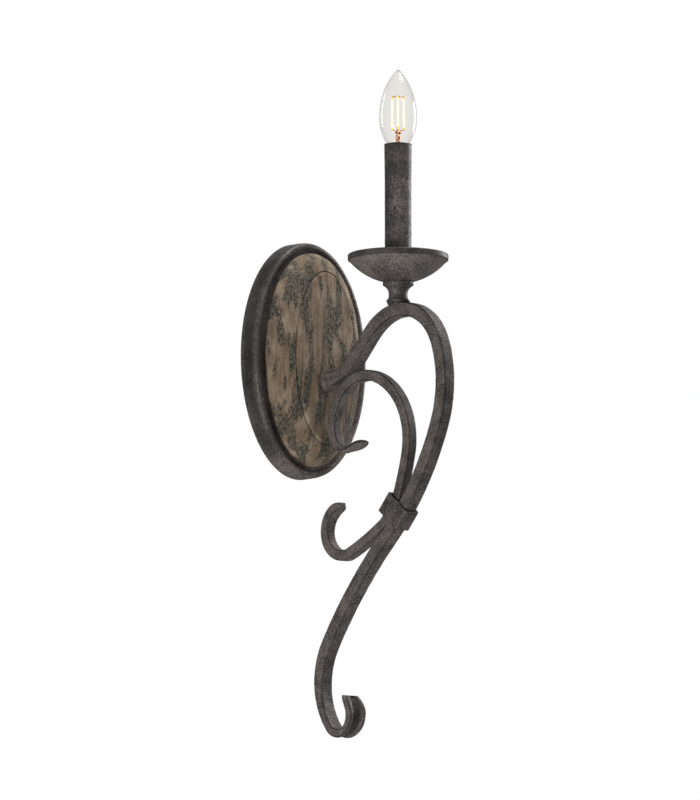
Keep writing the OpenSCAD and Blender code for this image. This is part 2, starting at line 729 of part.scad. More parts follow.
// Shallow spun dish with a plain band at its rim
dish_foot_r = stem_flange_r - 0.9;
bowl_h = dish_h - dish_band;
dish_lip = 1.3;
band_round = 0.8;
ball_z = (pow(dish_r - dish_lip, 2) - pow(dish_foot_r, 2) + pow(bowl_h, 2)) / (2 * bowl_h);
ball_r = sqrt(pow(ball_z, 2) + pow(dish_foot_r, 2));
module drip_dish() {
    color(iron) on_candle(dish_floor) difference() {
        rotate_extrude(convexity = 6, $fn = 96) {
            difference() {
                intersection() {
                    translate([0, ball_z]) circle(r = ball_r, $fn = 180);
                    square([dish_r, bowl_h + band_round]);
                }
                intersection() {
                    translate([0, ball_z]) circle(r = ball_r - dish_t, $fn = 180);
                    translate([0, dish_t]) square([dish_r, dish_h]);
                }
            }
            polygon(round_corners(dish_r - dish_t - dish_lip, bowl_h, dish_r, dish_h, band_round));
        }
        translate([0, 0, -1]) cylinder(h = dish_t + 2, d = nipple_d + 2 * play);
    }
}

module dish_nut() {
    color(brass) on_candle(sleeve_foot) lock_nut(nut_t);
}

// Bracket: a foot under the upper nut, a riser and a head that carries the socket
riser_y = sleeve_d / 2 - sleeve_wall - slip - bracket_t - 0.8;
module socket_bracket() {
    riser_w = 7;
    head_z = socket_foot - bracket_t;
    color(steel) on_candle() difference() {
        union() {
            translate([0, 0, bracket_foot]) intersection() {
                cylinder(h = bracket_t, r = riser_y + bracket_t);
                translate([-8, -8, -1]) cube([16, 30, bracket_t + 2]);
            }
            translate([-riser_w / 2, riser_y, bracket_foot])
                cube([riser_w, bracket_t, head_z + bracket_t - bracket_foot]);
            translate([0, 0, head_z]) intersection() {
                cylinder(h = bracket_t, r = riser_y + bracket_t);
                translate([-4.5, -5, -1]) cube([9, 30, bracket_t + 2]);
            }
        }
        translate([0, 0, bracket_foot - 1])
            cylinder(h = bracket_t + 2, d = nipple_d + 2 * play);
        for (side = [-1, 1]) translate([side * wire_step, 0, head_z - 1])
            cylinder(h = bracket_t + 2, d = wire_d + 2 * slip);
    }
}

module bracket_nut() {
    color(brass) on_candle(bracket_foot + bracket_t) lock_nut(nut_t);
}

// Insulating socket body with a deep bore for the shell and two holes for the leads
wire_step = nipple_bore / 2 - wire_d / 2 - 0.6;
module socket_body() {
    web = 6;
    color("#2b2320") on_candle(socket_foot) difference() {
        cylinder(h = socket_top - socket_foot, r = socket_r);
        translate([0, 0, web])
            cylinder(h = socket_top - socket_foot, r = shell_r + 0.5 + play);
        for (side = [-1, 1]) translate([side * wire_step, 0, -1])
            cylinder(h = web + 2, d = wire_d + 2 * slip);
    }
}

module screw_shell() {
    foot = contact_z + 1;
    color(brass) on_candle(foot) difference() {
        cylinder(h = socket_top - foot - 0.5, r = shell_r + 0.5);
        translate([0, 0, -1]) cylinder(h = socket_top - foot + 1, r = shell_r);
    }
}

// Sprung brass tongue under the bulb's contact
module centre_contact() {
    foot = socket_foot + 6;
    color(brass) on_candle(foot) {
        translate([-3, -4.6, 0]) cube([6, 9.2, 0.5]);
        translate([-2, 3.6, 0.5]) cube([4, 0.5, contact_z - foot - 0.75]);
        translate([-2, -2.4, contact_z - foot - 0.75]) cube([4, 6.5, 0.5]);
    }
}

module candle_sleeve() {
    color(iron) on_candle(sleeve_foot) difference() {
        cylinder(h = sleeve_h, d = sleeve_d);
        translate([0, 0, -1]) cylinder(h = sleeve_h + 2, d = sleeve_d - 2 * sleeve_wall);
    }
}

// Bulb: the cap, its insulator and its contact
insulator_h = 2.4;
contact_h = 0.6;
module bulb_cap() {
    color(steel) on_candle(cap_top - cap_h) difference() {
        cylinder(h = cap_h, d = cap_d);
        translate([0, 0, 1]) cylinder(h = cap_h, d = cap_d - 1);
        translate([0, 0, -1]) cylinder(h = 3, r = 4.2);
    }
}

module cap_insulator() {
    color("#1d1d1f") on_candle(contact_z + contact_h) rotate_extrude() polygon([
        [0, 0], [2.4, 0], [cap_d / 2 - 1, insulator_h - 0.05], [0, insulator_h - 0.05]
    ]);
}

module cap_contact() {
    color(brass) on_candle(contact_z) cylinder(h = contact_h, r = 2.2);
}

// Half outline of the flame-shaped glass as two cubic curves; grow moves it outwards
function cubic(a, b, c, d, t) =
    pow(1 - t, 3) * a + 3 * t * pow(1 - t, 2) * b + 3 * t * t * (1 - t) * c + t * t * t * d;
glass_steps = 10;
belly_z = 0.545 * bulb_len;
function glass_outline(grow) =
    let (
        r = bulb_d / 2 + grow,
        neck = cap_d / 2 - 0.7 + grow,
        top = bulb_len + grow,
        foot = cap_h + 2.2,
        lower = [[neck, foot], [neck + 1.6, foot + 9], [r, belly_z - 19], [r, belly_z]],
        upper = [[r, belly_z], [r, belly_z + 15], [r * 0.72, top - 10], [0.9 + grow * 0.3, top]]
    )
    [for (s = [lower, upper], i = [(s == upper ? 1 : 0):glass_steps])
        let (t = i / glass_steps)
        [cubic(s[0][0], s[1][0], s[2][0], s[3][0], t),
         cubic(s[0][1], s[1][1], s[2][1], s[3][1], t)]];
module bulb_glass() {
    outside = glass_outline(0);
    inside = glass_outline(-glass_t);
    color([0.86, 0.92, 0.95, 0.35]) on_candle(contact_z) difference() {
        rotate_extrude() polygon(concat([[0, outside[0][1]]], outside, [[0, bulb_len]]));
        rotate_extrude() polygon(concat(
            [[0, inside[0][1] - 1], [inside[0][0], inside[0][1] - 1]],
            inside, [[0, bulb_len - glass_t]]));
    }
}

// Glass mount inside the bulb: a flared foot and a thin stem
mount_foot = cap_top + 0.2;
mount_h = 20;
module filament_stem() {
    color([0.86, 0.92, 0.95, 0.5]) on_candle(mount_foot) rotate_extrude() polygon([
        [0, 0], [cap_d / 2 - 0.7 - glass_t - play, 0],
        [cap_d / 2 - 0.7 - glass_t - play, 0.8], [3, 4], [2.1, 8], [1.7, mount_h], [0, mount_h]
    ]);
}

// Filament rods stand on a ring, tied by a lower and an upper wire cross
filament_ring_r = 5.4;
filament_r = 0.8;
filament_foot = mount_foot + mount_h + 3.5;
module filament_wires() {
    spoke_r = 0.35;
    hub_r = 1.1;
    post_h = filament_foot - mount_foot - mount_h;
    color("#b8763c") on_candle() {
        translate([0, 0, mount_foot + mount_h]) cylinder(h = post_h, r = 0.5);
        for (z = [filament_foot - spoke_r, filament_foot + filament_len + spoke_r]) {
            translate([0, 0, z - 0.5]) cylinder(h = 1, r = hub_r);
            for (i = [0:filament_count - 1])
                rotate([0, 0, 360 * (i + 0.5) / filament_count])
                    translate([hub_r - 0.3, 0, z]) rotate([0, 90, 0])
                        cylinder(h = filament_ring_r + filament_r - hub_r, r = spoke_r);
        }
    }
}

module filaments() {
    color("#ffd88a") on_candle() for (i = [0:filament_count - 1])
        rotate([0, 0, 360 * (i + 0.5) / filament_count])
            translate([filament_ring_r, 0, filament_foot])
                cylinder(h = filament_len, r = filament_r, $fn = 24);
}

// Two leads run from the pan through the arm and the stem to the socket
lead_turn_r = 5;
lead_back_r = 3.5;
lead_back_len = 34;
lead_heading = asin((lead_turn_r - arch_dy) / (arch_front_r + lead_turn_r));
lead_stop = arch_state[1] - lead_heading;
lead_top = socket_foot + 4;
nipple_back = pan_floor_depth - pan_wall - washer_t - nut_t - 2;
lead_start = [[nipple_back - lead_back_r, lead_back_len + lead_back_r - arm_drop], -90];
lead_bends = concat(
    [[0, lead_back_len], [lead_back_r, 90], [0, plaque_face - nipple_back]],
    part(main_bends, 0, arch_bends),
    [[arch_front_r, -lead_stop], [lead_turn_r, 90 - lead_heading]]
);
lead_turned = at_bend(lead_start, lead_bends, len(lead_bends));
module lead_wires() {
    line = states(lead_start,
        concat(lead_bends, [[0, lead_top - lead_turned[0][1]]]), arc_step * 2);
    color("#d8d4c8") for (side = [-1, 1]) translate([side * wire_step, 0, 0])
        arm_plane() sweep(line, round_points(wire_d / 2, 12));
}

// Stripped ends of the leads behind the pan
module lead_ends() {
    color("#b8763c") for (side = [-1, 1])
        translate([side * wire_step, -lead_start[0][0], lead_start[0][1]])
            cylinder(h = 9, d = wire_d * 0.55);
}

back_pan();
wood_plaque();
plaque_screws();
mounting_strap();
pan_set_screws();
ground_screw();
ground_wire();
arm_nipple();
arm_washer();
arm_lock_nut();
main_scroll();
inner_scroll();
collar();
turned_stem();
stem_nipple();
drip_dish();
dish_nut();
socket_bracket();
bracket_nut();
socket_body();
screw_shell();
centre_contact();
candle_sleeve();
bulb_cap();
cap_insulator();
cap_contact();
bulb_glass();
filament_stem();
filament_wires();
filaments();
lead_wires();
lead_ends();
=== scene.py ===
"""Looks of the candle wall light: forged bars, pressed pan, carved plaque, spun dish and bulb.

Lengths in the functions are millimetres, and MM turns them into metres where a mesh is made.
The arm lies in a plane where the first coordinate is the distance from the wall and the second
the height; the third is the width, towards the near side of the lamp. Bends, headings and twists
are in degrees.
"""

import math

import bpy
import numpy as np
from bpy.props import FloatProperty, FloatVectorProperty, IntProperty, PointerProperty
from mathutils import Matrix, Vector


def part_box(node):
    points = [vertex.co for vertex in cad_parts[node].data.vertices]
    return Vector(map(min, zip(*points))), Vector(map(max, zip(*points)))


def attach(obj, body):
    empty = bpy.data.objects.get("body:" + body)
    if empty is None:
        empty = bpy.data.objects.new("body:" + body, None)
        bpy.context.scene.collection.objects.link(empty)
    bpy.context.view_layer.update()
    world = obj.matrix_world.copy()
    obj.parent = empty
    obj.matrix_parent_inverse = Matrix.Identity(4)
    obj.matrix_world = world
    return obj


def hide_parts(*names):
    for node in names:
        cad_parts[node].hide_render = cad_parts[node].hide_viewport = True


bl_info = {
    "name": "Candle wall light",
    "version": (1, 0, 0),
    "blender": (4, 5, 0),
    "location": "View3D > Sidebar > Wall light",
    "description": "Forged scroll arm on an oval plate with one candle",
    "category": "Add Mesh",
}

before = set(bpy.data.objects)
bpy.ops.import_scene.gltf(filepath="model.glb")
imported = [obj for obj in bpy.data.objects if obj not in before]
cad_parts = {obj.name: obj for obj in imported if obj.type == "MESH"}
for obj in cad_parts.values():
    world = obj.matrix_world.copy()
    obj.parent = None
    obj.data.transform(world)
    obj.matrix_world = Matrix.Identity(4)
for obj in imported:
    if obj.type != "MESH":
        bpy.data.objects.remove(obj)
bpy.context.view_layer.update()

MM = 0.001
SHARP = math.radians(38)


def low_and_size(node):
    """Low corner and size of a node of the frame, in millimetres."""
    low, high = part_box(node)
    low, high = np.array(low) / MM, np.array(high) / MM
    return low, high - low


PLAQUE_LOW, PLAQUE_SIZE = low_and_size("wood_plaque")
PAN_SIZE = low_and_size("back_pan")[1]
STEM_LOW, STEM_SIZE = low_and_size("turned_stem")
DISH_LOW, DISH_SIZE = low_and_size("drip_dish")
SLEEVE_LOW, SLEEVE_SIZE = low_and_size("candle_sleeve")
GLASS_LOW = low_and_size("bulb_glass")[0]
ROD_LOW, ROD_SIZE = low_and_size("filaments")
CAP_LOW, CAP_SIZE = low_and_size("bulb_cap")
PLAQUE_FACE = -PLAQUE_LOW[1]
PLAQUE_BACK = PLAQUE_FACE - PLAQUE_SIZE[1]
CANDLE_AXIS = np.array([0, SLEEVE_LOW[1] + SLEEVE_SIZE[1] / 2])


def number(label, text, value, low, high, kind="NONE", digits=2):
    """A number property of a kind of unit."""
    return FloatProperty(name=label, description=text, default=value, min=low, max=high,
                         unit=kind, precision=digits)


def length(label, text, *millimetres):
    """A length property in metres; its default, least and greatest are given in millimetres."""
    return number(label, text, *(value * MM for value in millimetres), "LENGTH", 4)


def colour(label, text, value):
    """A linear colour property."""
    return FloatVectorProperty(name=label, description=text, default=value, size=3,
                               subtype="COLOR", min=0.0, max=1.0)


class PlateSettings(bpy.types.PropertyGroup):
    """Sizes of the pan and the plaque."""
    sheet: length("Sheet", "Thickness of the pan's sheet", 1.2, 0.8, 1.6)
    shoulder: length("Shoulder", "Width of the pan's rounded shoulder", 5, 3, 6)
    gap: length("Gap", "Dark gap between the plaque and the ring", 0.8, 0.5, 1.2)
    border: length("Border", "Width of the plaque's carved border", 19.4, 14, 22)
    carve: length("Carved line", "Depth of the line round the raised field", 1.4, 0.6, 2)
    rise: length("Field", "Height of the field above the border", 2.2, 1.5, 3)


class BarSettings(bpy.types.PropertyGroup):
    """Sizes of the forged bars and the collar."""
    bar: length("Bar", "Side of the main scroll's square bar", 13, 12, 15)
    slim_bar: length("Slim bar", "Side of the inner scroll's square bar", 10, 9, 11)
    arris: length("Arris", "Radius of the bars' edges", 1.4, 0.5, 2)
    hammer: length("Hammering", "Depth of the hammer marks", 0.16, 0, 0.5)
    foot_thick: length("Foot height", "Height of the flared foot", 20.5, 18, 22)
    foot_wide: length("Foot width", "Width of the flared foot", 17, 15, 19)
    foot_edge: length("Foot chamfer", "Size of the foot's chamfers", 5, 3, 6)
    tail_thick: length("Tail", "Thickness of the fishtail's end", 7.6, 6, 9)
    tail_wide: length("Tail width", "Width of the fishtail's end", 21.5, 18, 22)
    tail_slant: length("Tail slant", "Slant of the fishtail's end over its thickness", 7, 0, 8)
    groove: length("Groove", "Depth of the groove in the fishtail", 3.0, 1, 3.4)
    hook_thick: length("Hook", "Thickness of the hook's end", 8, 6, 10)
    hook_wide: length("Hook width", "Width of the hook's end", 13, 10, 14)
    leaf_thick: length("Leaf", "Thickness of the leaf", 4.2, 3, 6)
    leaf_wide: length("Leaf width", "Width of the leaf", 10, 8, 11)
    leaf_neck: length("Leaf neck", "Width of the leaf at its neck", 7, 5, 8)
    strap: length("Strap", "Thickness of the collar's strap", 2.2, 1.6, 2.6)
    strap_len: length("Strap length", "Length of the collar along the bars", 20.8, 15, 22)


class CandleSettings(bpy.types.PropertyGroup):
    """Sizes of the stem, the dish, the sleeve and the bulb."""
    flange: length("Flange", "Thickness of the stem's flange", 3.2, 3, 5)
    waist: length("Waist", "Radius of the stem's waist", 8.7, 7.5, 9.4)
    dish_band: length("Dish band", "Height of the plain band at the rim", 5.4, 4, 8)
    dish_metal: length("Dish metal", "Thickness of the dish", 1.6, 1, 2.2)
    sleeve_wall: length("Sleeve wall", "Wall of the candle sleeve", 1.2, 0.8, 1.3)
    glass: length("Glass", "Thickness of the bulb's glass", 0.8, 0.5, 1.2)
    rod_ring: length("Rod ring", "Radius of the ring of rods", 5.4, 4, 6)
    rods: IntProperty(name="Rods", description="Number of glowing rods", default=4, min=3, max=6)


class FinishSettings(bpy.types.PropertyGroup):
    """Colours of the finishes."""
    iron_dark: colour("Dark iron", "Dark parts of the iron's finish", (0.036, 0.031, 0.029))
    iron_light: colour("Light iron", "Light parts of the iron's finish", (0.150, 0.130, 0.120))
    wood_light: colour("Light wood", "Light grain of the plaque", (0.280, 0.216, 0.154))
    wood_mid: colour("Brown wood", "Brown grain of the plaque", (0.182, 0.126, 0.082))
    wood_pale: colour("Pale wood", "Pale clouds on the plaque", (0.42, 0.35, 0.27))
    wood_worn: colour("Worn wood", "Grey-green of the worn patches", (0.085, 0.086, 0.068))
    wood_black: colour("Black wood", "Specks in the worn patches", (0.012, 0.013, 0.010))
    # Painted shade in the bottom of the carved line.
    carved_line_shade: colour("Carved line", "Dark bottom of the carved line", (0.03, 0.022, 0.015))
    glow: colour("Glow", "Light of the rods", (1.0, 0.90, 0.58))


class StageSettings(bpy.types.PropertyGroup):
    """Camera and light."""
    distance: number("Distance", "Camera distance", 4.0, 2.0, 8.0, "LENGTH")
    azimuth: number("Azimuth", "Camera azimuth in degrees", -44.0, -180.0, 180.0)
    elevation: number("Elevation", "Camera elevation in degrees", -7.3, -60.0, 60.0)
    key: number("Key light", "Power of the key light in watts", 64.0, 0.0, 400.0, "POWER")
    ambient: number("Ambient", "Strength of the even light", 0.07, 0.0, 2.0)


def in_mm(group, *names):
    """Settings of a group in millimetres."""
    values = getattr(bpy.context.scene, f"wall_light_{group}")
    return [getattr(values, name) / MM for name in names]


def unit(angle):
    """Unit vectors in the arm's plane at angles."""
    a = np.radians(angle)
    return np.stack([np.cos(a), np.sin(a)], -1)


def ease(f):
    """Blend that starts and ends smoothly as f runs from 0 to 1: three f squared less two f cubed."""
    f = np.clip(f, 0, 1)
    return f * f * (3 - 2 * f)


def mix(a, b, f):
    """Straight blend from a to b."""
    return a + (b - a) * f


def ripple(points, wave, seed, count=14):
    """Even noise between about -1 and 1: a sum of plane sine waves in random directions, with
    wavelengths spread round the one given."""
    rng = np.random.default_rng(seed)
    way = rng.normal(size=(count, 3))
    way /= np.linalg.norm(way, axis=1)[:, None]
    way *= (2 * math.pi / (wave * rng.uniform(0.7, 1.5, count)))[:, None]
    phase = rng.uniform(0, 2 * math.pi, count)
    return np.sin(points @ way.T + phase).sum(-1) / math.sqrt(count)


def arc(run, angle):
    """A bend of a given length: its radius is the length over the angle in radians."""
    return run / math.radians(abs(angle)), angle


def bend_length(radius, angle):
    """Radius times angle, or the straight's own length where the radius is 0."""
    return angle if radius == 0 else radius * math.radians(abs(angle))


def follow(start, heading, bends, step=1.4):
    """States along a run of bends. A bend is (radius, angle), and a radius of 0 is a straight of
    that length. On an arc the point is the centre minus the radius times the unit vector a
    quarter turn left of the heading. Returns points, headings and the running bend number."""
    points, headings, marks = [], [], []
    point = np.array(start, float)
    for number, (radius, angle) in enumerate(bends):
        size = bend_length(radius, angle)
        count = max(2, math.ceil(size / step))
        f = np.arange(count + 1) / count
        if radius == 0:
            run = point + f[:, None] * size * unit(heading)
            turn = np.full(count + 1, float(heading))
        else:
            side = math.copysign(1, angle)
            turn = heading + f * angle
            centre = point + side * radius * unit(heading + 90)
            run = centre - side * radius * unit(turn + 90)
        points.append(run[:-1])
        headings.append(turn[:-1])
        marks.append(number + f[:-1])
        point, heading = run[-1], turn[-1]
    points.append(point[None])
    headings.append([heading])
    marks.append([len(bends)])
    return np.concatenate(points), np.concatenate(headings), np.concatenate(marks)


def soften(path, upto, reach=10):
    """Path whose points before a bend number are averaged with their neighbours, weighted by a
    squared cosine, so that the bend changes gradually."""
    points, headings, marks = path
    weights = np.cos(np.linspace(-1, 1, 2 * reach + 3)[1:-1] * math.pi / 2) ** 2
    weights /= weights.sum()
    padded = np.pad(points, ((reach, reach), (0, 0)), mode="edge")
    soft = np.stack([np.convolve(padded[:, k], weights, "valid") for k in (0, 1)], -1)
    share = np.clip((upto - marks) * 2, 0, 1) * np.clip(marks - 1, 0, 1)
    return mix(points, soft, share[:, None]), headings, marks


def smooth_profile(points, count):
    """Smooth line through points: between two points a cubic over the chord length, with the
    slope at each point taken from its two neighbours."""
    p = np.asarray(points, float)
    s = np.concatenate([[0], np.cumsum(np.linalg.norm(np.diff(p, axis=0), axis=1))])
    slope = np.gradient(p, s, axis=0)
    t = np.linspace(0, s[-1], count)
    k = np.clip(np.searchsorted(s, t, side="right") - 1, 0, len(s) - 2)
    h = (s[k + 1] - s[k])[:, None]
    f = ((t - s[k]) / (s[k + 1] - s[k]))[:, None]
    a = (2 * f ** 3 - 3 * f ** 2 + 1) * p[k] + (f ** 3 - 2 * f ** 2 + f) * h * slope[k]
    return a + (3 * f ** 2 - 2 * f ** 3) * p[k + 1] + (f ** 3 - f ** 2) * h * slope[k + 1]


def rounded(corners, steps=5):
    """Closed outline with round corners. Each corner is (x, y, radius); the arc touches both
    sides at the radius over the tangent of half the corner's angle, and its points lie on the
    circle about the corner's own centre."""
    p = np.array([c[:2] for c in corners], float)
    out = []
    for k, (_, _, radius) in enumerate(corners):
        if radius == 0:
            out.append(p[k][None])
            continue
        before, here, behind = p[k - 1], p[k], p[(k + 1) % len(p)]
        u = (before - here) / np.linalg.norm(before - here)
        v = (behind - here) / np.linalg.norm(behind - here)
        half = math.acos(np.clip(u @ v, -1, 1)) / 2
        middle = (u + v) / np.linalg.norm(u + v)
        centre = here + middle * radius / math.sin(half)
        first = here + u * radius / math.tan(half) - centre
        last = here + v * radius / math.tan(half) - centre
        line = mix(first, last, np.linspace(0, 1, steps)[:, None])
        out.append(centre + radius * line / np.linalg.norm(line, axis=1)[:, None])
    return np.concatenate(out)


def section_template(corner=5, side=5, outer=15):
    """Unit outline of a bar, a quarter turn at a time: for each point the share of the corner
    centre (across the bend and across the width), and the direction of the edge radius there."""
    shares, ways = [], []
    for k in range(4):
        before, after = np.round(unit(90 * k)), np.round(unit(90 * k + 90))
        f = np.linspace(1, -1, (outer if k == 1 else side) + 2)[1:-1, None]
        shares += [np.tile(before + after, (corner, 1)), f * before + after]
        ways += [unit(np.linspace(0, 90, corner) + 90 * k), np.tile(after, (len(f), 1))]
    return np.concatenate(shares), np.concatenate(ways)


def in_world(plane, width):
    """World coordinates of points or directions given in the arm's plane and across it."""
    return np.stack([-width, -plane[..., 0], plane[..., 1]], -1)


def bar_grid(path, thick, wide, edge, groove=0.0, crisp=0.0, twist=0.0, lean=0.0, hammer=0.0,
             painted_face_shade=0.0, seed=1):
    """Grid of a bar along a path. Across the bend a point lies at its share of half the thickness
    less the edge radius, plus the radius in its direction, and likewise across the width. The
    groove lowers the middle of the outer face with an eased edge, crisp flattens the rounded edge
    to a chamfer, twist turns the section, and lean moves its inner side forwards. The face-shade
    weight paints shade on the left face (or on the right one, below 0) where it stands upright, for
    the side faces that turn from the light. The arris attribute it returns also holds a painted dark
    line along each rounded edge, and the groove darker."""
    points, headings, _ = path
    shares, ways = section_template()
    thick, wide, edge, groove, crisp, twist, lean, painted_face_shade = (
        np.broadcast_to(np.asarray(v, float), len(points))[:, None]
        for v in (thick, wide, edge, groove, crisp, twist, lean, painted_face_shade))
    flat = ways / np.abs(ways).sum(1, keepdims=True)
    a, w = (shares[:, k] * (size / 2 - edge) + mix(ways[:, k], flat[:, k], crisp) * edge
            for k, size in enumerate((thick, wide)))
    outer = (shares[:, 0] == -1) & (ways[:, 0] < -0.99)
    dip = np.where(outer, ease((0.84 - np.abs(shares[:, 1])) / 0.42), 0)
    a = a + groove * dip
    turn = np.radians(twist)
    a, w = a * np.cos(turn) + w * np.sin(turn), w * np.cos(turn) - a * np.sin(turn)
    left, forward = unit(headings + 90)[:, None], unit(headings)[:, None]
    grid = in_world(points[:, None] + a[..., None] * (left + lean[..., None] * forward), w)
    out = in_world(ways[:, :1] * left, np.broadcast_to(ways[:, 1], a.shape))
    depth = hammer * (0.5 + 0.35 * ripple(grid, 9, seed) + 0.25 * ripple(grid, 3.4, seed + 1))
    grid = grid - out * np.clip(depth, 0, None)[..., None]
    # Painted shade: a dark line along each rounded edge, and the upright side faces darker where they
    # turn from the light. The groove is darkened as well.
    line = np.minimum(2.6 * np.abs(ways[:, 0] * ways[:, 1]), 1) * (1 - crisp)
    upright = ease(1 - 1.1 * np.abs(unit(headings + 90)[:, 1:]))
    face = 0.5 * upright * np.clip(painted_face_shade * ways[:, 0], 0, 1)
    return grid, {"arris": np.maximum(np.maximum(line, 0.28 * dip * groove), face)}


def circle(count, whole=2 * math.pi):
    """Evenly spaced angles of one whole turn."""
    return np.linspace(0, whole, count, endpoint=False)


def turned(radius, turn, height, axis=CANDLE_AXIS):
    """Points about an upright axis through (x, y): the axis plus the radius times the cosine and
    the sine of an angle in radians, at a height."""
    x, y = axis[0] + radius * np.cos(turn), axis[1] + radius * np.sin(turn)
    return np.stack([x, y, np.broadcast_to(height, x.shape)], -1)


def lathe_grid(profile, turns=96, axis=CANDLE_AXIS):
    """Surface of revolution of a profile whose points are (radius, height)."""
    radius, height = np.asarray(profile, float).T[:, :, None]
    return turned(radius, circle(turns), height, axis)


def draw_in(grid, share):
    """Draws a lathed grid towards the candle's axis by a share of its distance from it."""
    grid[..., :2] = CANDLE_AXIS + (grid[..., :2] - CANDLE_AXIS) * (1 - share)[..., None]


def oval_rings(half_w, half_h, depth, points=224):
    """Rings of ovals: half width times the cosine, half height times the sine, at a depth."""
    t = circle(points)
    x, z = half_w[:, None] * np.cos(t), half_h[:, None] * np.sin(t)
    return np.stack([x, np.broadcast_to(-depth[:, None], x.shape), z], -1)


def make_mesh(name, grid, closed_rows=False, attributes=None):
    """A mesh piece from a grid of points whose rows are closed rings. Neighbouring rings are
    joined by quads, the last ring joins the first where closed_rows is true, and otherwise each
    end gets a fan about its middle. Faces are turned outwards by the sign of the volume."""
    rows, cols = grid.shape[:2]
    verts = grid.reshape(-1, 3) * MM
    ring = np.arange(cols)
    beside = (ring + 1) % cols
    low = np.arange(rows if closed_rows else rows - 1)[:, None] * cols
    high = (low + cols) % (rows * cols)
    quads = np.stack([low + ring, high + ring, high + beside, low + beside], -1).reshape(-1, 4)
    fans = []
    for first in () if closed_rows else (0, (rows - 1) * cols):
        verts = np.vstack([verts, verts[first:first + cols].mean(0)])
        fan = np.stack([np.full(cols, len(verts) - 1), first + ring, first + beside], -1)
        fans.append(fan[:, [0, 2, 1]] if first else fan)
    p = verts[np.concatenate([quads[:, :3], quads[:, [0, 2, 3]], *fans])]
    inside_out = (np.cross(p[:, 0], p[:, 1]) * p[:, 2]).sum() < 0
    order = -1 if inside_out else 1
    mesh = bpy.data.meshes.new(name)
    mesh.from_pydata(verts, [], sum((part[:, ::order].tolist() for part in (quads, *fans)), []))
    mesh.polygons.foreach_set("use_smooth", np.ones(len(mesh.polygons), bool))
    for label, values in (attributes or {}).items():
        layer = mesh.attributes.new(label, "FLOAT", "POINT")
        spread = np.zeros(len(verts), np.float32)
        spread[:rows * cols] = np.broadcast_to(values, (rows, cols)).ravel()
        layer.data.foreach_set("value", spread)
    mesh.set_sharp_from_angle(angle=SHARP)
    mesh.update()
    piece = bpy.data.objects.new(name, mesh)
    bpy.context.scene.collection.objects.link(piece)
    return piece


def join_pieces(name, pieces):
    """Joins pieces into one object of the given name."""
    with bpy.context.temp_override(active_object=pieces[0], selected_editable_objects=pieces):
        bpy.ops.object.join()
    pieces[0].name = name
    return pieces[0]


def seat(piece, body, slot, material, *nodes):
    """Gives a piece its finish, its body and the nodes that it stands for."""
    piece.data.materials.append(material)
    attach(piece, body)
    if nodes:
        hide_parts(*nodes)


class Wiring:
    """Short hand for one node tree. Values may be numbers, colours or sockets to link."""

    def __init__(self, tree):
        self.tree = tree

    def feed(self, node, values):
        """Sets or links a node's inputs."""
        for key, value in values.items():
            if isinstance(value, bpy.types.NodeSocket):
                self.tree.links.new(value, node.inputs[key])
            else:
                node.inputs[key].default_value = value

    def add(self, kind, values=None, **settings):
        """A new node with its settings and inputs."""
        node = self.tree.nodes.new(kind)
        for key, value in settings.items():
            setattr(node, key, value)
        self.feed(node, values or {})
        return node

    def noise(self, vector, scale, detail=3.0, rough=0.55):
        return self.add("ShaderNodeTexNoise", {"Vector": vector, "Scale": scale, "Detail": detail,
                                               "Roughness": rough}).outputs["Fac"]

    def maths(self, operation, a, b):
        return self.add("ShaderNodeMath", {0: a, 1: b}, operation=operation).outputs[0]

    def weighed(self, a, share, b, other):
        """The sum of a times its share and b times the other share."""
        return self.maths("ADD", self.maths("MULTIPLY", a, share), self.maths("MULTIPLY", b, other))

    def limits(self, value, low, high, new_low=0.0, new_high=1.0):
        return self.add("ShaderNodeMapRange", {"Value": value, "From Min": low, "From Max": high,
                        "To Min": new_low, "To Max": new_high}).outputs["Result"]

    def blend(self, factor, a, b, way="MIX"):
        return self.add("ShaderNodeMix", {0: factor, 6: a, 7: b}, data_type="RGBA",
                        blend_type=way).outputs[2]

    def stretch(self, vector, upright, across=1.0):
        """Coordinates that draw a pattern out where a share is below 1."""
        return self.add("ShaderNodeMapping", {"Vector": vector,
                                              "Scale": (across, 1.0, upright)}).outputs[0]

    def own(self, name):
        """The piece's own attribute."""
        return self.add("ShaderNodeAttribute", attribute_name=name).outputs["Fac"]

    def bump(self, shader, height, strength, depth):
        """Feeds a height into the shader's normal, at a depth in millimetres."""
        node = self.add("ShaderNodeBump", {"Height": height, "Strength": strength,
                                           "Distance": depth * MM})
        self.feed(shader, {"Normal": node.outputs[0]})


def with_alpha(rgb, share=1.0):
    """Colour times a share, with an alpha of 1."""
    return (*(np.array(rgb) * share), 1.0)


def iron_patina(w, given):
    """Cloudy patches and fine grain between a dark and a light tone, a few dark pits, and a
    darkening by the arris attribute, which holds painted shade and dark lines such as the sleeve's
    seam. The relief follows the same noises."""
    patch = w.noise(given["Vector"], given["Patch Scale"], 4.0, 0.6)
    grain = w.noise(given["Vector"], given["Grain Scale"], 3.0, 0.65)
    tone = w.weighed(patch, 0.34, grain, 0.66)
    pits = w.noise(w.stretch(given["Vector"], 0.55), 330.0, 2.0, 0.5)
    pit = w.maths("MULTIPLY", w.limits(pits, 0.655, 0.69), given["Pits"])
    # Painted shade: the arris attribute darkens the colour towards black, a little less where the
    # patches are light.
    line = w.maths("MULTIPLY", given["Arris"], w.limits(patch, 0.3, 0.6, 1.0, 0.72))
    base = w.blend(w.limits(tone, 0.425, 0.585), given["Dark"], given["Light"])
    relief = w.weighed(patch, 0.5, grain, 0.3)
    return {"Color": w.blend(w.maths("MAXIMUM", pit, line), base, given["Black"]),
            "Roughness": w.limits(tone, 0.35, 0.65, 0.64, 0.42),
            "Height": w.maths("SUBTRACT", relief, w.maths("MULTIPLY", pit, 0.8))}


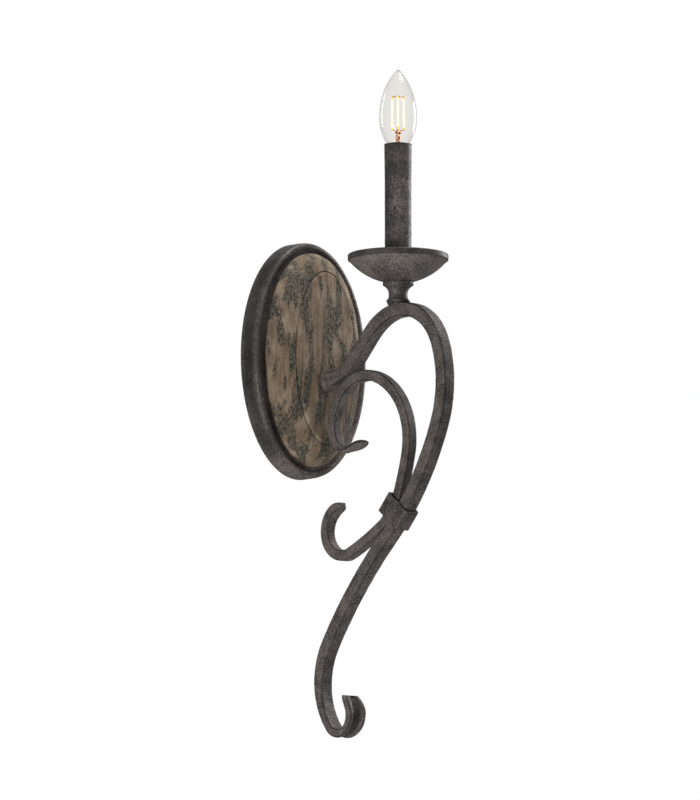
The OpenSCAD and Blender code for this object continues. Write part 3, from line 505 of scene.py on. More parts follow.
def fine_grain(w, given):
    """Fine brushed or moulded grain: two stretched noises around one colour."""
    fine = w.noise(w.stretch(given["Vector"], 0.15), given["Scale"], 3.0, 0.6)
    soft = w.noise(given["Vector"], w.maths("MULTIPLY", given["Scale"], 0.12), 2.0, 0.5)
    tone = w.weighed(fine, 0.6, soft, 0.4)
    change = w.maths("MULTIPLY", w.limits(tone, 0.35, 0.65), given["Variation"])
    shade = w.maths("SUBTRACT", 1.0, change)
    return {"Color": w.blend(1.0, given["Base"], shade, "MULTIPLY"),
            "Roughness": w.weighed(given["Rough"], 1.0, tone, 0.15),
            "Height": tone}


def effect_group(name, wire, values):
    """A shared effect, made once: a node group with the inputs that the values name and the
    outputs that its wiring gives."""
    if name in bpy.data.node_groups:
        return bpy.data.node_groups[name]
    group = bpy.data.node_groups.new(name, "ShaderNodeTree")
    add = group.interface.new_socket
    add("Vector", in_out="INPUT", socket_type="NodeSocketVector")
    for label, value in values.items():
        kind = "NodeSocketColor" if isinstance(value, tuple) else "NodeSocketFloat"
        add(label, in_out="INPUT", socket_type=kind)
    for label, kind in (("Color", "Color"), ("Roughness", "Float"), ("Height", "Float")):
        add(label, in_out="OUTPUT", socket_type=f"NodeSocket{kind}")
    w = Wiring(group)
    w.add("NodeGroupOutput", wire(w, w.add("NodeGroupInput").outputs))
    return group


def new_material(name):
    """A material, its wiring, its main shader and its object coordinates."""
    material = bpy.data.materials.new(name)
    material.use_nodes = True
    w = Wiring(material.node_tree)
    return (material, w, material.node_tree.nodes["Principled BSDF"],
            w.add("ShaderNodeTexCoord").outputs["Object"])


def effect_material(name, effect, wire, values, relief, **finish):
    """Material whose colour, roughness and relief come from a shared effect, placed with its own
    values. A value in words is the name of the piece's own attribute."""
    material, w, shader, place = new_material(name)
    node = w.add("ShaderNodeGroup", node_tree=effect_group(effect, wire, values))
    w.feed(node, {"Vector": place} | {key: w.own(value) if isinstance(value, str) else value
                                      for key, value in values.items()})
    w.feed(shader, {"Base Color": node.outputs["Color"], "Roughness": node.outputs["Roughness"]})
    w.feed(shader, finish)
    w.bump(shader, node.outputs["Height"], *relief)
    return material


def iron_material(name, patches=70.0, pits=0.25, tone_and_painted_light=1.0, relief=0.35):
    """Dark grey-brown iron with its patina. A factor scales both of its tones: partly the piece's own
    tone and partly painted light and shade, which make lighter and darker copies of one iron.
    """
    finish = bpy.context.scene.wall_light_finish
    values = {"Dark": with_alpha(finish.iron_dark, tone_and_painted_light), "Light": with_alpha(finish.iron_light, tone_and_painted_light),
              "Black": (0.007, 0.006, 0.006, 1.0), "Patch Scale": patches, "Grain Scale": 620.0,
              "Pits": pits, "Arris": "arris"}
    return effect_material(name, "Iron patina", iron_patina, values, (relief, 0.5),
                           **{"Metallic": 0.15, "Specular IOR Level": 0.22})


def grained_material(name, base, metallic=0.0, rough=0.4, variation=0.3, scale=600.0):
    """Plain metal, plastic or rubber with a fine grain."""
    values = {"Base": with_alpha(base), "Scale": scale, "Variation": variation, "Rough": rough}
    return effect_material(name, "Fine grain", fine_grain, values, (0.15, 0.15), Metallic=metallic)


def wood_material():
    """Grey-tan wood: upright grain, brown clouds, worn grey-green patches full of black specks,
    and painted shade in the bottom of the carved line, which follows the piece's own attribute."""
    material, w, shader, place = new_material("Weathered wood")
    finish = bpy.context.scene.wall_light_finish
    light, mid, pale, worn, black, line = (with_alpha(c) for c in (
        finish.wood_light, finish.wood_mid, finish.wood_pale, finish.wood_worn,
        finish.wood_black, finish.carved_line_shade))
    broad = w.noise(w.stretch(place, 0.16), 95.0, 4.0, 0.6)
    streak = w.noise(w.stretch(place, 0.05), 620.0, 4.0, 0.7)
    fleck = w.noise(w.stretch(place, 0.5), 1300.0, 2.0, 0.6)
    cloud = w.noise(place, 34.0, 3.0, 0.6)
    tone = w.blend(w.limits(broad, 0.34, 0.66), mid, light)
    tone = w.blend(w.limits(streak, 0.43, 0.58, 0.0, 0.75), tone, with_alpha(finish.wood_mid, 0.62))
    tone = w.blend(1.0, tone, w.limits(fleck, 0.38, 0.62, 0.68, 1.0), "MULTIPLY")
    tone = w.blend(w.limits(cloud, 0.5, 0.72, 0.0, 0.42), tone, pale)
    zone = w.noise(w.stretch(place, 0.27, 1.35), 92.0, 2.0, 0.45)
    ragged = w.noise(w.stretch(place, 0.35), 420.0, 5.0, 0.75)
    torn = w.weighed(zone, 1.0, w.maths("SUBTRACT", ragged, 0.5), 0.5)
    tone = w.blend(w.limits(torn, 0.512, 0.572, 0.0, 0.62), tone, worn)
    speck = w.noise(w.stretch(place, 0.30), 1020.0, 4.0, 0.72)
    specks = w.maths("MULTIPLY", w.limits(speck, 0.495, 0.525), w.limits(zone, 0.455, 0.545))
    dots = w.limits(w.noise(w.stretch(place, 0.6), 330.0, 3.0, 0.6), 0.665, 0.695)
    marks = w.maths("MAXIMUM", specks, dots)
    tone = w.blend(marks, tone, black)
    broken = w.limits(w.noise(place, 60.0, 3.0), 0.42, 0.62, 0.1, 0.85)
    # Painted shade in the bottom of the carved line, broken up by noise.
    tone = w.blend(w.maths("MULTIPLY", w.own("carved"), broken), tone, line)
    w.feed(shader, {"Base Color": tone, "Roughness": w.limits(ragged, 0.3, 0.7, 0.9, 0.68),
                    "Specular IOR Level": 0.25})
    w.bump(shader, w.weighed(streak, 0.7, marks, -0.8), 0.55, 0.6)
    return material


def glass_material(name, tint, edge, rough=0.0):
    """Clear glass whose colour darkens where it is seen edge on: a painted dark outline that stands
    for the reflections at its edges.
    """
    material, w, shader, place = new_material(name)
    # Painted dark outline: the colour darkens towards the edges seen edge on.
    rim = w.maths("POWER", w.add("ShaderNodeLayerWeight", {"Blend": 0.5}).outputs["Facing"], 2.6)
    w.feed(shader, {
        "Base Color": w.blend(rim, with_alpha(tint), with_alpha(tint, edge)),
        "Roughness": w.limits(w.noise(place, 60.0, 2.0), 0.3, 0.7, rough, rough + 0.02),
        "Transmission Weight": 1.0, "IOR": 1.16})
    return material


def glowing_material(name, base, strength):
    """Glowing coating, a little uneven along its length."""
    material, w, shader, place = new_material(name)
    brighter = with_alpha(np.minimum(np.array(base) * 1.15, 1))
    warm = w.blend(w.limits(w.noise(place, 700.0, 2.0), 0.3, 0.7), with_alpha(base), brighter)
    w.feed(shader, {"Base Color": w.blend(0.75, warm, (0.05, 0.03, 0.01, 1)),
                    "Emission Color": warm, "Emission Strength": strength})
    return material


class WALLLIGHT_OT_back_pan(bpy.types.Operator):
    """Make the pressed oval pan: lip, rolled shoulder, sunk ring and floor"""
    bl_idname = "wall_light.back_pan"
    bl_label = "Back pan"

    def execute(self, context):
        inset, sheet, gap = in_mm("plate", "shoulder", "sheet", "gap")
        half_w, half_h, depth = PAN_SIZE[0] / 2, PAN_SIZE[2] / 2, PAN_SIZE[1]
        floor_w, floor_h = PLAQUE_SIZE[0] / 2 + gap, PLAQUE_SIZE[2] / 2 + gap
        edge = smooth_profile([(0, 0), (0.1, 0.35 * depth), (0.3, 0.65 * depth),
                               (0.16 * inset, 0.84 * depth), (0.44 * inset, 0.96 * depth),
                               (inset, depth)], 26)
        ring = smooth_profile([(0, depth), (0.22, depth - 0.7), (0.5, mix(depth, PLAQUE_BACK, 0.8)),
                               (0.9, PLAQUE_BACK), (1, PLAQUE_BACK)], 16)[1:]
        outer = np.concatenate([
            np.stack([half_w - edge[:, 0], half_h - edge[:, 0], edge[:, 1]], -1),
            np.stack([mix(half_w - inset, floor_w, ring[:, 0]),
                      mix(half_h - inset, floor_h, ring[:, 0]), ring[:, 1]], -1)])
        under = outer[::-1] - sheet
        under[:, 2] = np.maximum(under[:, 2], 0)
        rows = np.concatenate([under[:-1], [[half_w - sheet, half_h - sheet, 0]], outer])
        grid = oval_rings(*rows.T)
        grid[..., 1] += 0.12 * ripple(grid, 34, 5) * (grid[..., 1] < -3)
        grid[..., 1] = np.clip(grid[..., 1], -depth, 0)
        # The arris attribute holds painted shade on the pan's near side wall and its ring.
        piece = make_mesh("back_pan_pressed", grid, attributes={
            "arris": self.shade(grid.shape[1], rows[:, 2] / depth, len(ring))})
        # A lighter copy of the iron, partly painted light on the pan.
        iron = iron_material("Pan iron", patches=26.0, pits=0.05, tone_and_painted_light=1.12)
        seat(piece, "fixture", "dark_iron", iron, "back_pan")
        return {"FINISHED"}

    @staticmethod
    def shade(points, depths, ring_rows):
        """Painted shade on the near side wall and on the ring beside it: each follows the cosine of
        the angle to its darkest place, and the side wall's shade also its own depth."""
        turn = circle(points, 360)
        flank_way, ring_way, crest_rows = 165, 145, 3
        rise = np.clip(1.25 - np.abs(depths - 0.5) * 1.5, 0, 1)[:, None]
        painted_flank_shade = 0.95 * rise * ease(1.6 * unit(turn - flank_way)[:, 0] - 0.2)
        painted_shade_ring_rows = (np.arange(len(depths)) >= len(depths) - ring_rows - crest_rows)[:, None]
        return np.maximum(painted_flank_shade, 0.8 * painted_shade_ring_rows * ease(1.7 * unit(turn - ring_way)[:, 0] - 0.3))


class WALLLIGHT_OT_plaque(bpy.types.Operator):
    """Make the carved oval plaque: bevelled border, carved line and raised field"""
    bl_idname = "wall_light.plaque"
    bl_label = "Wooden plaque"

    def execute(self, context):
        border, carve, rise = in_mm("plate", "border", "carve", "rise")
        half_w, half_h, thick = PLAQUE_SIZE[0] / 2, PLAQUE_SIZE[2] / 2, PLAQUE_SIZE[1]
        low = thick - rise
        bevel = smooth_profile([(0, 0.3), (0, 4), (2.6, thick * 0.42), (6.5, thick * 0.64),
                                (0.62 * border, thick * 0.80), (border - 1.2, low)], 46)
        field = smooth_profile([(border - 1.2, low), (border - 0.2, low - carve * 0.6),
                                (border + 0.6, low + 0.7), (border + 1.8, thick - 0.4),
                                (border + 5, thick), (half_w - 1, thick)], 60)[1:]
        inward, height = np.concatenate([bevel, field]).T
        grid = oval_rings(half_w - inward, half_h - inward, PLAQUE_BACK + height, 320)
        streak = ripple(grid * [1, 0.3, 0.06], 2.6, 11) + 0.6 * ripple(grid * [1, 0.3, 0.05], 1.2, 12)
        wear = ripple(grid * [1, 0.5, 0.4], 15, 13)
        sunk = 0.10 * (1 + np.clip(streak, -1, 2)) + 0.35 * np.clip(wear, 0, 2)
        grid[..., 1] += sunk * np.clip((height - 2) / 6, 0, 1)[:, None]
        by_line = np.exp(-((inward - border) / 2) ** 2)[:, None]
        grid[..., 1] += np.clip(0.25 * ripple(grid * [1, 1, 0.3], 7, 14) * by_line, -0.1, 0.5)
        # Where shade is painted in the bottom of the carved line.
        carved = np.exp(-((inward - border + 0.2) / 0.7) ** 2)[:, None]
        piece = make_mesh("wood_plaque_carved", grid, attributes={"carved": carved})
        seat(piece, "fixture", "plaque_wood", wood_material(), "wood_plaque")
        return {"FINISHED"}


ARM_DROP = 21.5
RISE_BEND, HOOK_BEND = 47, -193
FOOT = ((0, 5.8), (42, RISE_BEND * 0.53))
PLAIN = ((42, RISE_BEND * 0.47), (0, 33.5), (59, -30.5), (51, -86.5), (108, -41), (272, -25.5),
         (480, 14.5))
TAIL = ((66, 71), (16, 75), (17, 87), arc(13.5, 17))
TAIL_RINGS = (12, 13, 15, 4)
JOINT_STATION, JOINT_LEN, JOINT_GAP = 362, 18.8, 0.1
UP = ((10, 18), (264, 10.1), (65, 81), (42.4, 131))
LEAF_TURN = (15.2, 84.5)
LEAF = arc(25, -9.5)
LEAF_TWIST = 44
DOWN = ((10, -12.5), (300, -9.5), (23.5, HOOK_BEND * 0.6))
HOOK = (23.5, HOOK_BEND * 0.4)
COLLAR_STATION, COLLAR_SLACK, COLLAR_SLIP, COLLAR_CORNER = 353.9, 3.2, 0.3, 2.7


def main_line(bends):
    """The main scroll's middle line along some of its bends, from the plaque's face."""
    return follow((PLAQUE_FACE, -ARM_DROP), 0, bends)


def at_station(station):
    """Point and heading of the main scroll's middle line at a distance along it: the bends are
    followed until the distance is spent."""
    spent = []
    for radius, angle in (*FOOT, *PLAIN):
        share = min(1, station / bend_length(radius, angle))
        spent.append((radius, angle * share))
        station -= share * bend_length(radius, angle)
        if share < 1:
            break
    points, headings, _ = main_line(spent)
    return points[-1], headings[-1]


def dome(ring, last, steps):
    """Rounded end: the root of one less the square of how far a ring is into the last steps."""
    into = np.clip((ring - last + steps) / (steps + 0.5), 0, 1)
    return np.sqrt(1 - into ** 2)


class WALLLIGHT_OT_scrolls(bpy.types.Operator):
    """Forge the main scroll with its foot and fishtail, and the inner scroll with leaf and hook"""
    bl_idname = "wall_light.scrolls"
    bl_label = "Scrolls"

    def execute(self, context):
        iron = iron_material("Forged iron", pits=0.2)
        self.main_scroll(iron)
        self.inner_scroll(iron)
        return {"FINISHED"}

    def main_scroll(self, iron):
        """One bar from the flared foot over the arch and the long leg to the grooved fishtail."""
        bar, arris, groove, hammer = in_mm("bars", "bar", "arris", "groove", "hammer")
        foot_thick, foot_wide, foot_edge = in_mm("bars", "foot_thick", "foot_wide", "foot_edge")
        tail_thick, tail_wide, tail_slant = in_mm("bars", "tail_thick", "tail_wide", "tail_slant")
        neck_thick, neck_wide, tail_edge, arch_end = 8, bar + 2.5, 1.7, 5.3
        tail_at, last = len(FOOT) + len(PLAIN), sum(TAIL_RINGS)
        path = soften(main_line((*FOOT, *PLAIN, *TAIL)), tail_at + 0.9)
        mark = path[2]
        foot = ease(mark / len(FOOT))
        ring = np.interp(mark - tail_at, range(len(TAIL) + 1), np.cumsum((0, *TAIL_RINGS)))
        drawn = ease(ring / TAIL_RINGS[0])
        end = np.clip((ring - TAIL_RINGS[0]) / (last - TAIL_RINGS[0]), 0, 1)
        tip = np.where(mark >= tail_at, dome(ring, last, 5), 1)
        thick = mix(foot_thick, mix(mix(bar, neck_thick, drawn), tail_thick, end), foot)
        wide = mix(foot_wide, mix(mix(bar, neck_wide, drawn), tail_wide, ease(end)), foot)
        edge = mix(foot_edge, mix(arris, tail_edge, ease(end * 2)), foot)
        # Past the arch the leg's upright outer face gets painted shade.
        grid, mask = bar_grid(
            path, thick * mix(1, tip, 0.4), wide * mix(1, tip, 0.55), edge,
            groove=groove * ease(end * 3) * ease(tip * 1.5), crisp=1 - foot,
            lean=tail_slant / tail_thick * ease(4 * ring / last - 3), hammer=hammer,
            painted_face_shade=ease(mark - arch_end) * (1 - drawn), seed=21)
        seat(make_mesh("main_scroll_forged", grid, attributes=mask), "fixture", "dark_iron",
             iron, "main_scroll")

    def inner_scroll(self, iron):
        """The slim bar, from the flattened hook through the joint to the twisted leaf."""
        bar, slim, arris, hammer = in_mm("bars", "bar", "slim_bar", "arris", "hammer")
        hook_thick, hook_wide = in_mm("bars", "hook_thick", "hook_wide")
        leaf_thick, leaf_wide, leaf_neck = in_mm("bars", "leaf_thick", "leaf_wide", "leaf_neck")
        slim_share, leaf_edge, hook_rings = 0.85, 1.6, 13
        point, heading = at_station(JOINT_STATION)
        reach = (bar + slim) / 2 + JOINT_GAP
        joint = point - reach * unit(heading + 90)
        beside = PLAIN[5][0] - reach
        half = math.degrees(JOINT_LEN / 2 / beside)
        up = follow(joint, heading + 180, ((beside, half), *UP, LEAF_TURN, LEAF))
        down = follow(joint, heading, ((beside, -half), *DOWN, HOOK))
        path = (np.concatenate([down[0][::-1], up[0][1:]]),
                np.concatenate([down[1][::-1] + 180, up[1][1:]]),
                np.concatenate([-down[2][::-1], up[2][1:]]))
        into_hook, into_leaf = -path[2] - 1 - len(DOWN), path[2] - 1 - len(UP)
        hook, neck = ease(into_hook), ease(into_leaf)
        hook_end = dome(hook_rings * np.clip(into_hook, 0, 1), hook_rings, 4)
        leaf = np.clip(into_leaf - 1, 0, 1)
        tip = np.sqrt(1 - 0.985 * leaf ** 5)
        thick = mix(mix(slim, hook_thick, hook) * mix(1, hook_end, 0.4),
                    leaf_thick * mix(1, tip, 0.7), neck)
        wide = mix(mix(slim, hook_wide, hook) * mix(1, hook_end, 0.5),
                   mix(leaf_neck, leaf_wide, np.sin(math.pi * leaf)) * tip, neck)
        edge = np.minimum(mix(arris * slim_share, leaf_edge, neck), 0.45 * np.minimum(thick, wide))
        # The outer face of the hook and of the arc gets painted shade.
        grid, mask = bar_grid(path, thick, wide, edge, twist=LEAF_TWIST * neck ** 2,
                              hammer=hammer * 0.8, painted_face_shade=neck - 1, seed=31)
        seat(make_mesh("inner_scroll_forged", grid, attributes=mask), "fixture", "dark_iron",
             iron, "inner_scroll")


class WALLLIGHT_OT_collar(bpy.types.Operator):
    """Wrap the strap round both bars"""
    bl_idname = "wall_light.collar"
    bl_label = "Collar"

    def execute(self, context):
        bar, slim, strap, run = in_mm("bars", "bar", "slim_bar", "strap", "strap_len")
        middle, heading = at_station(COLLAR_STATION)
        outer, inner = bar / 2 + COLLAR_SLIP + strap, bar / 2 + slim + COLLAR_SLACK + strap
        half_a, half_w, shift = (outer + inner) / 2, outer, (inner - outer) / 2
        shares, ways = section_template(9, 9, 9)
        outline = [(x * strap / 2, y * run / 2, 0.7)
                   for x, y in ((-1, -1), (1, -1), (1, 1), (-1, 1))]
        through, along = rounded(outline).T
        a, w = (shares[:, k:k + 1] * (half - COLLAR_CORNER)
                + ways[:, k:k + 1] * (COLLAR_CORNER - strap / 2 + through)
                for k, half in enumerate((half_a, half_w)))
        left, forward = unit(heading + 90), unit(heading)
        grid = in_world(middle + (a[..., None] - shift) * left + along[:, None] * forward, w)
        sink = 0.1 * (0.5 + 0.5 * ripple(grid, 8, 41))
        grid[..., 0] *= 1 - np.clip(sink, 0, 0.3) / half_w
        # A darker copy of the iron, partly painted shade on the collar.
        iron = iron_material("Collar iron", pits=0.12, tone_and_painted_light=0.72)
        seat(make_mesh("collar_wrapped", grid, closed_rows=True), "fixture", "dark_iron", iron,
             "collar")
        return {"FINISHED"}


STEM_TALL, STEM_REST, WELD_RING = 20.3, 0.7, 8.7


class WALLLIGHT_OT_stem(bpy.types.Operator):
    """Turn the stem, with its neck, bead, waist and flange, and lay the weld at its foot"""
    bl_idname = "wall_light.stem"
    bl_label = "Turned stem"

    def execute(self, context):
        waist, flange = in_mm("candle", "waist", "flange")
        flange_r = STEM_SIZE[0] / 2
        rest_r, foot = flange_r - 0.9, STEM_LOW[2] + STEM_SIZE[2] - STEM_TALL
        face, under = STEM_TALL - STEM_REST, STEM_TALL - STEM_REST - flange
        neck = [(0.1, -1.8), (8.5, -1.8), (8.6, 0.9)]
        bead = rounded([(0.1, 0.9, 0), (11, 0.9, 1.2), (11, 3.4, 1.2), (9.8, 3.4, 0.0)])[1:]
        shoulder = smooth_profile([(9.7, 3.4), (9.1, 5.0), (waist, 7.6), (9.0, 10.4),
                                   (10.1, 13.2), (12.4, 15.6)], 28)
        cap = rounded([(12.6, under, 0), (flange_r, under, 0.7), (flange_r, face, 0.8),
                       (rest_r, face, 0), (rest_r, STEM_TALL, 0.2), (0.1, STEM_TALL, 0)])
        profile = np.concatenate([neck, bead, shoulder, cap])
        grid = lathe_grid(profile + [0, foot])
        sink = 0.12 * (0.5 + 0.5 * ripple(grid, 6, 51)) * (grid[..., 2] < foot + 16)
        draw_in(grid, np.clip(sink, 0, 1) / np.maximum(profile[:, 0], 3)[:, None])
        # A darker copy of the iron, partly painted shade on the stem.
        iron = iron_material("Stem iron", pits=0.3, tone_and_painted_light=0.78)
        seat(make_mesh("turned_stem_lathed", grid), "fixture", "dark_iron", iron, "turned_stem")
        self.weld(foot, iron)
        return {"FINISHED"}

    def weld(self, foot, iron):
        """Lumpy bead: a ring tube whose radius swells with sines along the ring."""
        t, s = circle(120)[:, None], circle(20)
        lump = 1.25 + 0.5 * np.sin(11 * t + 0.7) * np.sin(3 * t) + 0.25 * np.sin(23 * t)
        tube = np.clip(lump, 0.7, 2.0)
        z = foot + 0.1 + 0.25 * np.sin(5 * t) + tube * 0.8 * np.sin(s)
        grid = turned(WELD_RING + tube * np.cos(s), t, z)
        seat(make_mesh("stem_weld", grid, closed_rows=True), "fixture", "dark_iron", iron)


class WALLLIGHT_OT_dish(bpy.types.Operator):
    """Spin the drip dish and roll its band"""
    bl_idname = "wall_light.dish"
    bl_label = "Drip dish"

    def execute(self, context):
        band, metal = in_mm("candle", "dish_band", "dish_metal")
        radius, height = DISH_SIZE[0] / 2, DISH_SIZE[2]
        bowl, lip, foot_r, bore_r = height - band, 1.3, 13.3, 5.2
        ball_z = ((radius - lip) ** 2 - foot_r ** 2 + bowl ** 2) / (2 * bowl)
        ball_r = math.hypot(ball_z, foot_r)
        z_out, z_in = np.linspace(0, bowl, 40), np.linspace(bowl + 0.2, metal, 36)
        outside, inside = (np.stack([np.sqrt(r ** 2 - (ball_z - z) ** 2), z], -1)
                           for r, z in ((ball_r, z_out), (ball_r - metal, z_in)))
        rim_r, rim_in = radius - 0.05, radius - metal - lip
        rim = rounded([(radius - lip, bowl, 0), (rim_r, bowl, 0.9), (rim_r, height, 0.9),
                       (rim_in, height, 0.6), (rim_in, bowl + 1.2, 0.4)], 6)[1:]
        profile = np.concatenate([[(bore_r, 0)], outside, rim, inside, [(bore_r, metal)]])
        grid = lathe_grid(profile + [0, DISH_LOW[2]], 160)
        # Painted shade: the band at the rim darker than the bowl.
        painted_shade_band = (profile[:, 0] > radius - lip - 0.1) & (profile[:, 1] > bowl - 0.1)
        piece = make_mesh("drip_dish_spun", grid, closed_rows=True,
                          attributes={"arris": 0.88 * painted_shade_band[:, None]})
        # A lighter copy of the iron, partly painted light on the bowl.
        iron = iron_material("Dish iron", patches=40.0, pits=0.1, tone_and_painted_light=1.15)
        seat(piece, "fixture", "dark_iron", iron, "drip_dish")
        return {"FINISHED"}


class WALLLIGHT_OT_sleeve(bpy.types.Operator):
    """Make the candle sleeve, a tube with a grainy pitted coat"""
    bl_idname = "wall_light.sleeve"
    bl_label = "Candle sleeve"

    def execute(self, context):
        wall, = in_mm("candle", "sleeve_wall")
        radius, height = SLEEVE_SIZE[0] / 2, SLEEVE_SIZE[2]
        side = np.linspace(0.6, height - 0.7, 90)
        lip = rounded([(radius, height - 0.7, 0), (radius, height, 0.6),
                       (radius - wall, height, 0.5)])[1:]
        profile = np.concatenate([[(radius - wall, 0), (radius - 0.3, 0)],
                                  np.stack([side * 0 + radius, side], -1), lip])
        grid = lathe_grid(profile + [0, SLEEVE_LOW[2]], 128)
        outer = (profile[:, 0] > radius - 0.4)[:, None]
        sink = 0.10 * (0.5 + 0.35 * ripple(grid, 5, 61) + 0.2 * ripple(grid, 1.9, 62))
        draw_in(grid, np.clip(sink, 0, 0.3) * outer / radius)
        seam_z, lip_z, painted_shade_way = 0.227 * height, height - 0.9, 136
        seam = 0.30 * np.exp(-((profile[:, 1:] - seam_z) / 0.45) ** 2)
        lip_line = 0.45 * np.exp(-((profile[:, 1:] - lip_z) / 0.4) ** 2)
        # Painted shade: the side of the sleeve away from the light is darker, by the cosine of the
        # angle to its darkest place.
        turn = circle(grid.shape[1], 360)
        painted_far_shade = 0.55 * ease(1.3 * unit(turn - painted_shade_way)[:, 0] - 0.2)
        shade = np.maximum(np.maximum(seam, lip_line), painted_far_shade) * outer
        piece = make_mesh("candle_sleeve_coated", grid, closed_rows=True,
                          attributes={"arris": shade})
        # A darker copy of the coat, partly painted shade on the sleeve.
        coat = iron_material("Sleeve coat", patches=58.0, pits=1.0, tone_and_painted_light=0.9, relief=0.8)
        seat(piece, "fixture", "dark_iron", coat, "candle_sleeve")
        return {"FINISHED"}


BULB_LEN, BULB_R, NECK_R, NECK_Z = 98.0, 17.5, 5.3, 17.2
ROD_R, TAB_LEN, TAB_R = 0.8, 2.3, 0.98
THREAD_PITCH, THREAD_DEPTH = 2.54, 0.45


def glass_profile(thick):
    """Half outline of the flame-shaped glass as two cubic curves, from the neck to the belly and
    on to the tip. A point is the sum of four control points, each weighted by its share."""
    belly, radius, neck, top = 0.545 * BULB_LEN, BULB_R - thick, NECK_R - thick, BULB_LEN - thick
    lower = np.array([(neck, NECK_Z), (neck + 1.6, NECK_Z + 9), (radius, belly - 19),
                      (radius, belly)])
    upper = np.array([(radius, belly), (radius, belly + 15), (radius * 0.72, top - 10),
                      (0.9 - thick * 0.3, top)])
    t = np.linspace(0, 1, 40)[:, None]
    curves = [(1 - t) ** 3 * c[0] + 3 * t * (1 - t) ** 2 * c[1] + 3 * t * t * (1 - t) * c[2]
              + t ** 3 * c[3] for c in (lower, upper)]
    return np.concatenate([curves[0], curves[1][1:]]) + [0, GLASS_LOW[2] - NECK_Z]


class WALLLIGHT_OT_bulb(bpy.types.Operator):
    """Blow the flame-shaped glass, stand its glowing rods and give the cap its thread"""
    bl_idname = "wall_light.bulb"
    bl_label = "Bulb"

    def execute(self, context):
        outer, inner = glass_profile(0), glass_profile(*in_mm("candle", "glass"))[::-1]
        tips = [outer[-1] * [0.3, 1], inner[0] * [0.3, 1]]
        grid = lathe_grid(np.concatenate([outer, tips, inner]), 112)
        seat(make_mesh("bulb_glass_blown", grid, closed_rows=True), "bulb", "clear_glass",
             glass_material("Clear glass", (0.895, 0.885, 0.865), 0.52), "bulb_glass")
        self.rods(context.scene.wall_light_candle.rods, context.scene.wall_light_finish.glow)
        self.thread()
        self.hub()
        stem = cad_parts["filament_stem"]
        stem.data.materials.clear()
        stem.data.materials.append(glass_material("Mount glass", (0.90, 0.66, 0.52), 0.5, 0.03))
        return {"FINISHED"}

    def hub(self):
        """Rosy copper knob under the rods, turned about the bulb's axis."""
        outline = [(0.1, -19), (3.4, -19), (3.0, -13), (1.9, -9), (2.6, -6.5), (1.8, -4.5),
                   (3.1, -2.2), (2.2, -0.8), (0.1, -0.6)]
        profile = np.maximum(smooth_profile(outline, 60) + [0, ROD_LOW[2]], [0.05, 0])
        seat(make_mesh("mount_hub", lathe_grid(profile, 40)), "bulb", "copper",
             grained_material("Rosy copper", (0.78, 0.40, 0.27), 0.85, 0.28, 0.4, 900.0))

    def rods(self, count, glow):
        """Round-ended rods on a ring, with a small yellow tab at each end."""
        low, size, inset = ROD_LOW[2], ROD_SIZE[2], 1.6
        ring, = in_mm("candle", "rod_ring")
        rod = rounded([(0.05, inset, 0), (ROD_R, inset, 0.3), (ROD_R, size - inset, 0.3),
                       (0.05, size - inset, 0)])
        tab = rounded([(0.05, 0, 0), (ROD_R, 0, 0.2), (TAB_R, TAB_LEN, 0.2), (0.05, TAB_LEN, 0)])
        rods, tabs = [], []
        for k in range(count):
            place = CANDLE_AXIS + ring * unit(360 * (k + 0.5) / count)
            rods.append(make_mesh(f"rod_{k}", lathe_grid(rod + [0, low], 20, place)))
            tabs += [make_mesh(f"tab_{k}_{n}", lathe_grid(outline, 16, place))
                     for n, outline in enumerate((tab + [0, low], tab * [1, -1] + [0, low + size]))]
        seat(join_pieces("filament_rods", rods), "bulb", "filament",
             glowing_material("Glowing rods", glow, 1.2), "filaments")
        seat(join_pieces("filament_tabs", tabs), "bulb", "filament",
             glowing_material("Yellow tabs", (1.0, 0.66, 0.08), 0.9))

    def thread(self):
        """Rolled thread: the cap's radius less a small cosine wave of the height and the angle."""
        low, height, radius = CAP_LOW[2], CAP_SIZE[2], CAP_SIZE[0] / 2
        z, t = np.linspace(0.5, height - 1.5, 90)[:, None], circle(72)
        wave = 0.5 - 0.5 * np.cos(2 * math.pi * z / THREAD_PITCH - t)
        fade = np.clip(np.minimum(z, height - 2 - z) / 1.5, 0, 1)
        r = radius - 0.02 - THREAD_DEPTH * wave * fade
        top = lathe_grid([(radius - 0.4, height + low), (radius - 0.9, height + low),
                          (radius - 0.9, 1 + low), (4.3, low)], len(t))
        nickel = grained_material("Nickel", (0.62, 0.60, 0.56), 1.0, 0.22, 0.2)
        seat(make_mesh("bulb_cap_threaded", np.concatenate([turned(r, t, z + low), top]),
                       closed_rows=True), "bulb", "nickel", nickel, "bulb_cap")


SMALL_PARTS = (
    ("Zinc plate", (0.50, 0.51, 0.53), 1.0, 0.32, 0.35,
     ("plaque_screws", "mounting_strap", "arm_washer", "socket_bracket")),
    ("Brass", (0.60, 0.42, 0.17), 1.0, 0.28, 0.3,
     ("arm_nipple", "arm_lock_nut", "stem_nipple", "dish_nut", "bracket_nut", "screw_shell",
      "centre_contact")),
    ("Copper", (0.62, 0.28, 0.14), 1.0, 0.3, 0.3, ("ground_wire", "filament_wires", "lead_ends")),
    ("Green screw", (0.05, 0.20, 0.07), 0.3, 0.4, 0.3, ("ground_screw",)),
    ("Phenolic", (0.020, 0.017, 0.015), 0.0, 0.45, 0.3, ("socket_body",)),
    ("Black glass", (0.008, 0.008, 0.010), 0.0, 0.12, 0.1, ("cap_insulator",)),
    ("Solder", (0.42, 0.42, 0.44), 1.0, 0.35, 0.4, ("cap_contact",)),
    ("Wire cover", (0.62, 0.60, 0.54), 0.0, 0.55, 0.15, ("lead_wires",)),
)


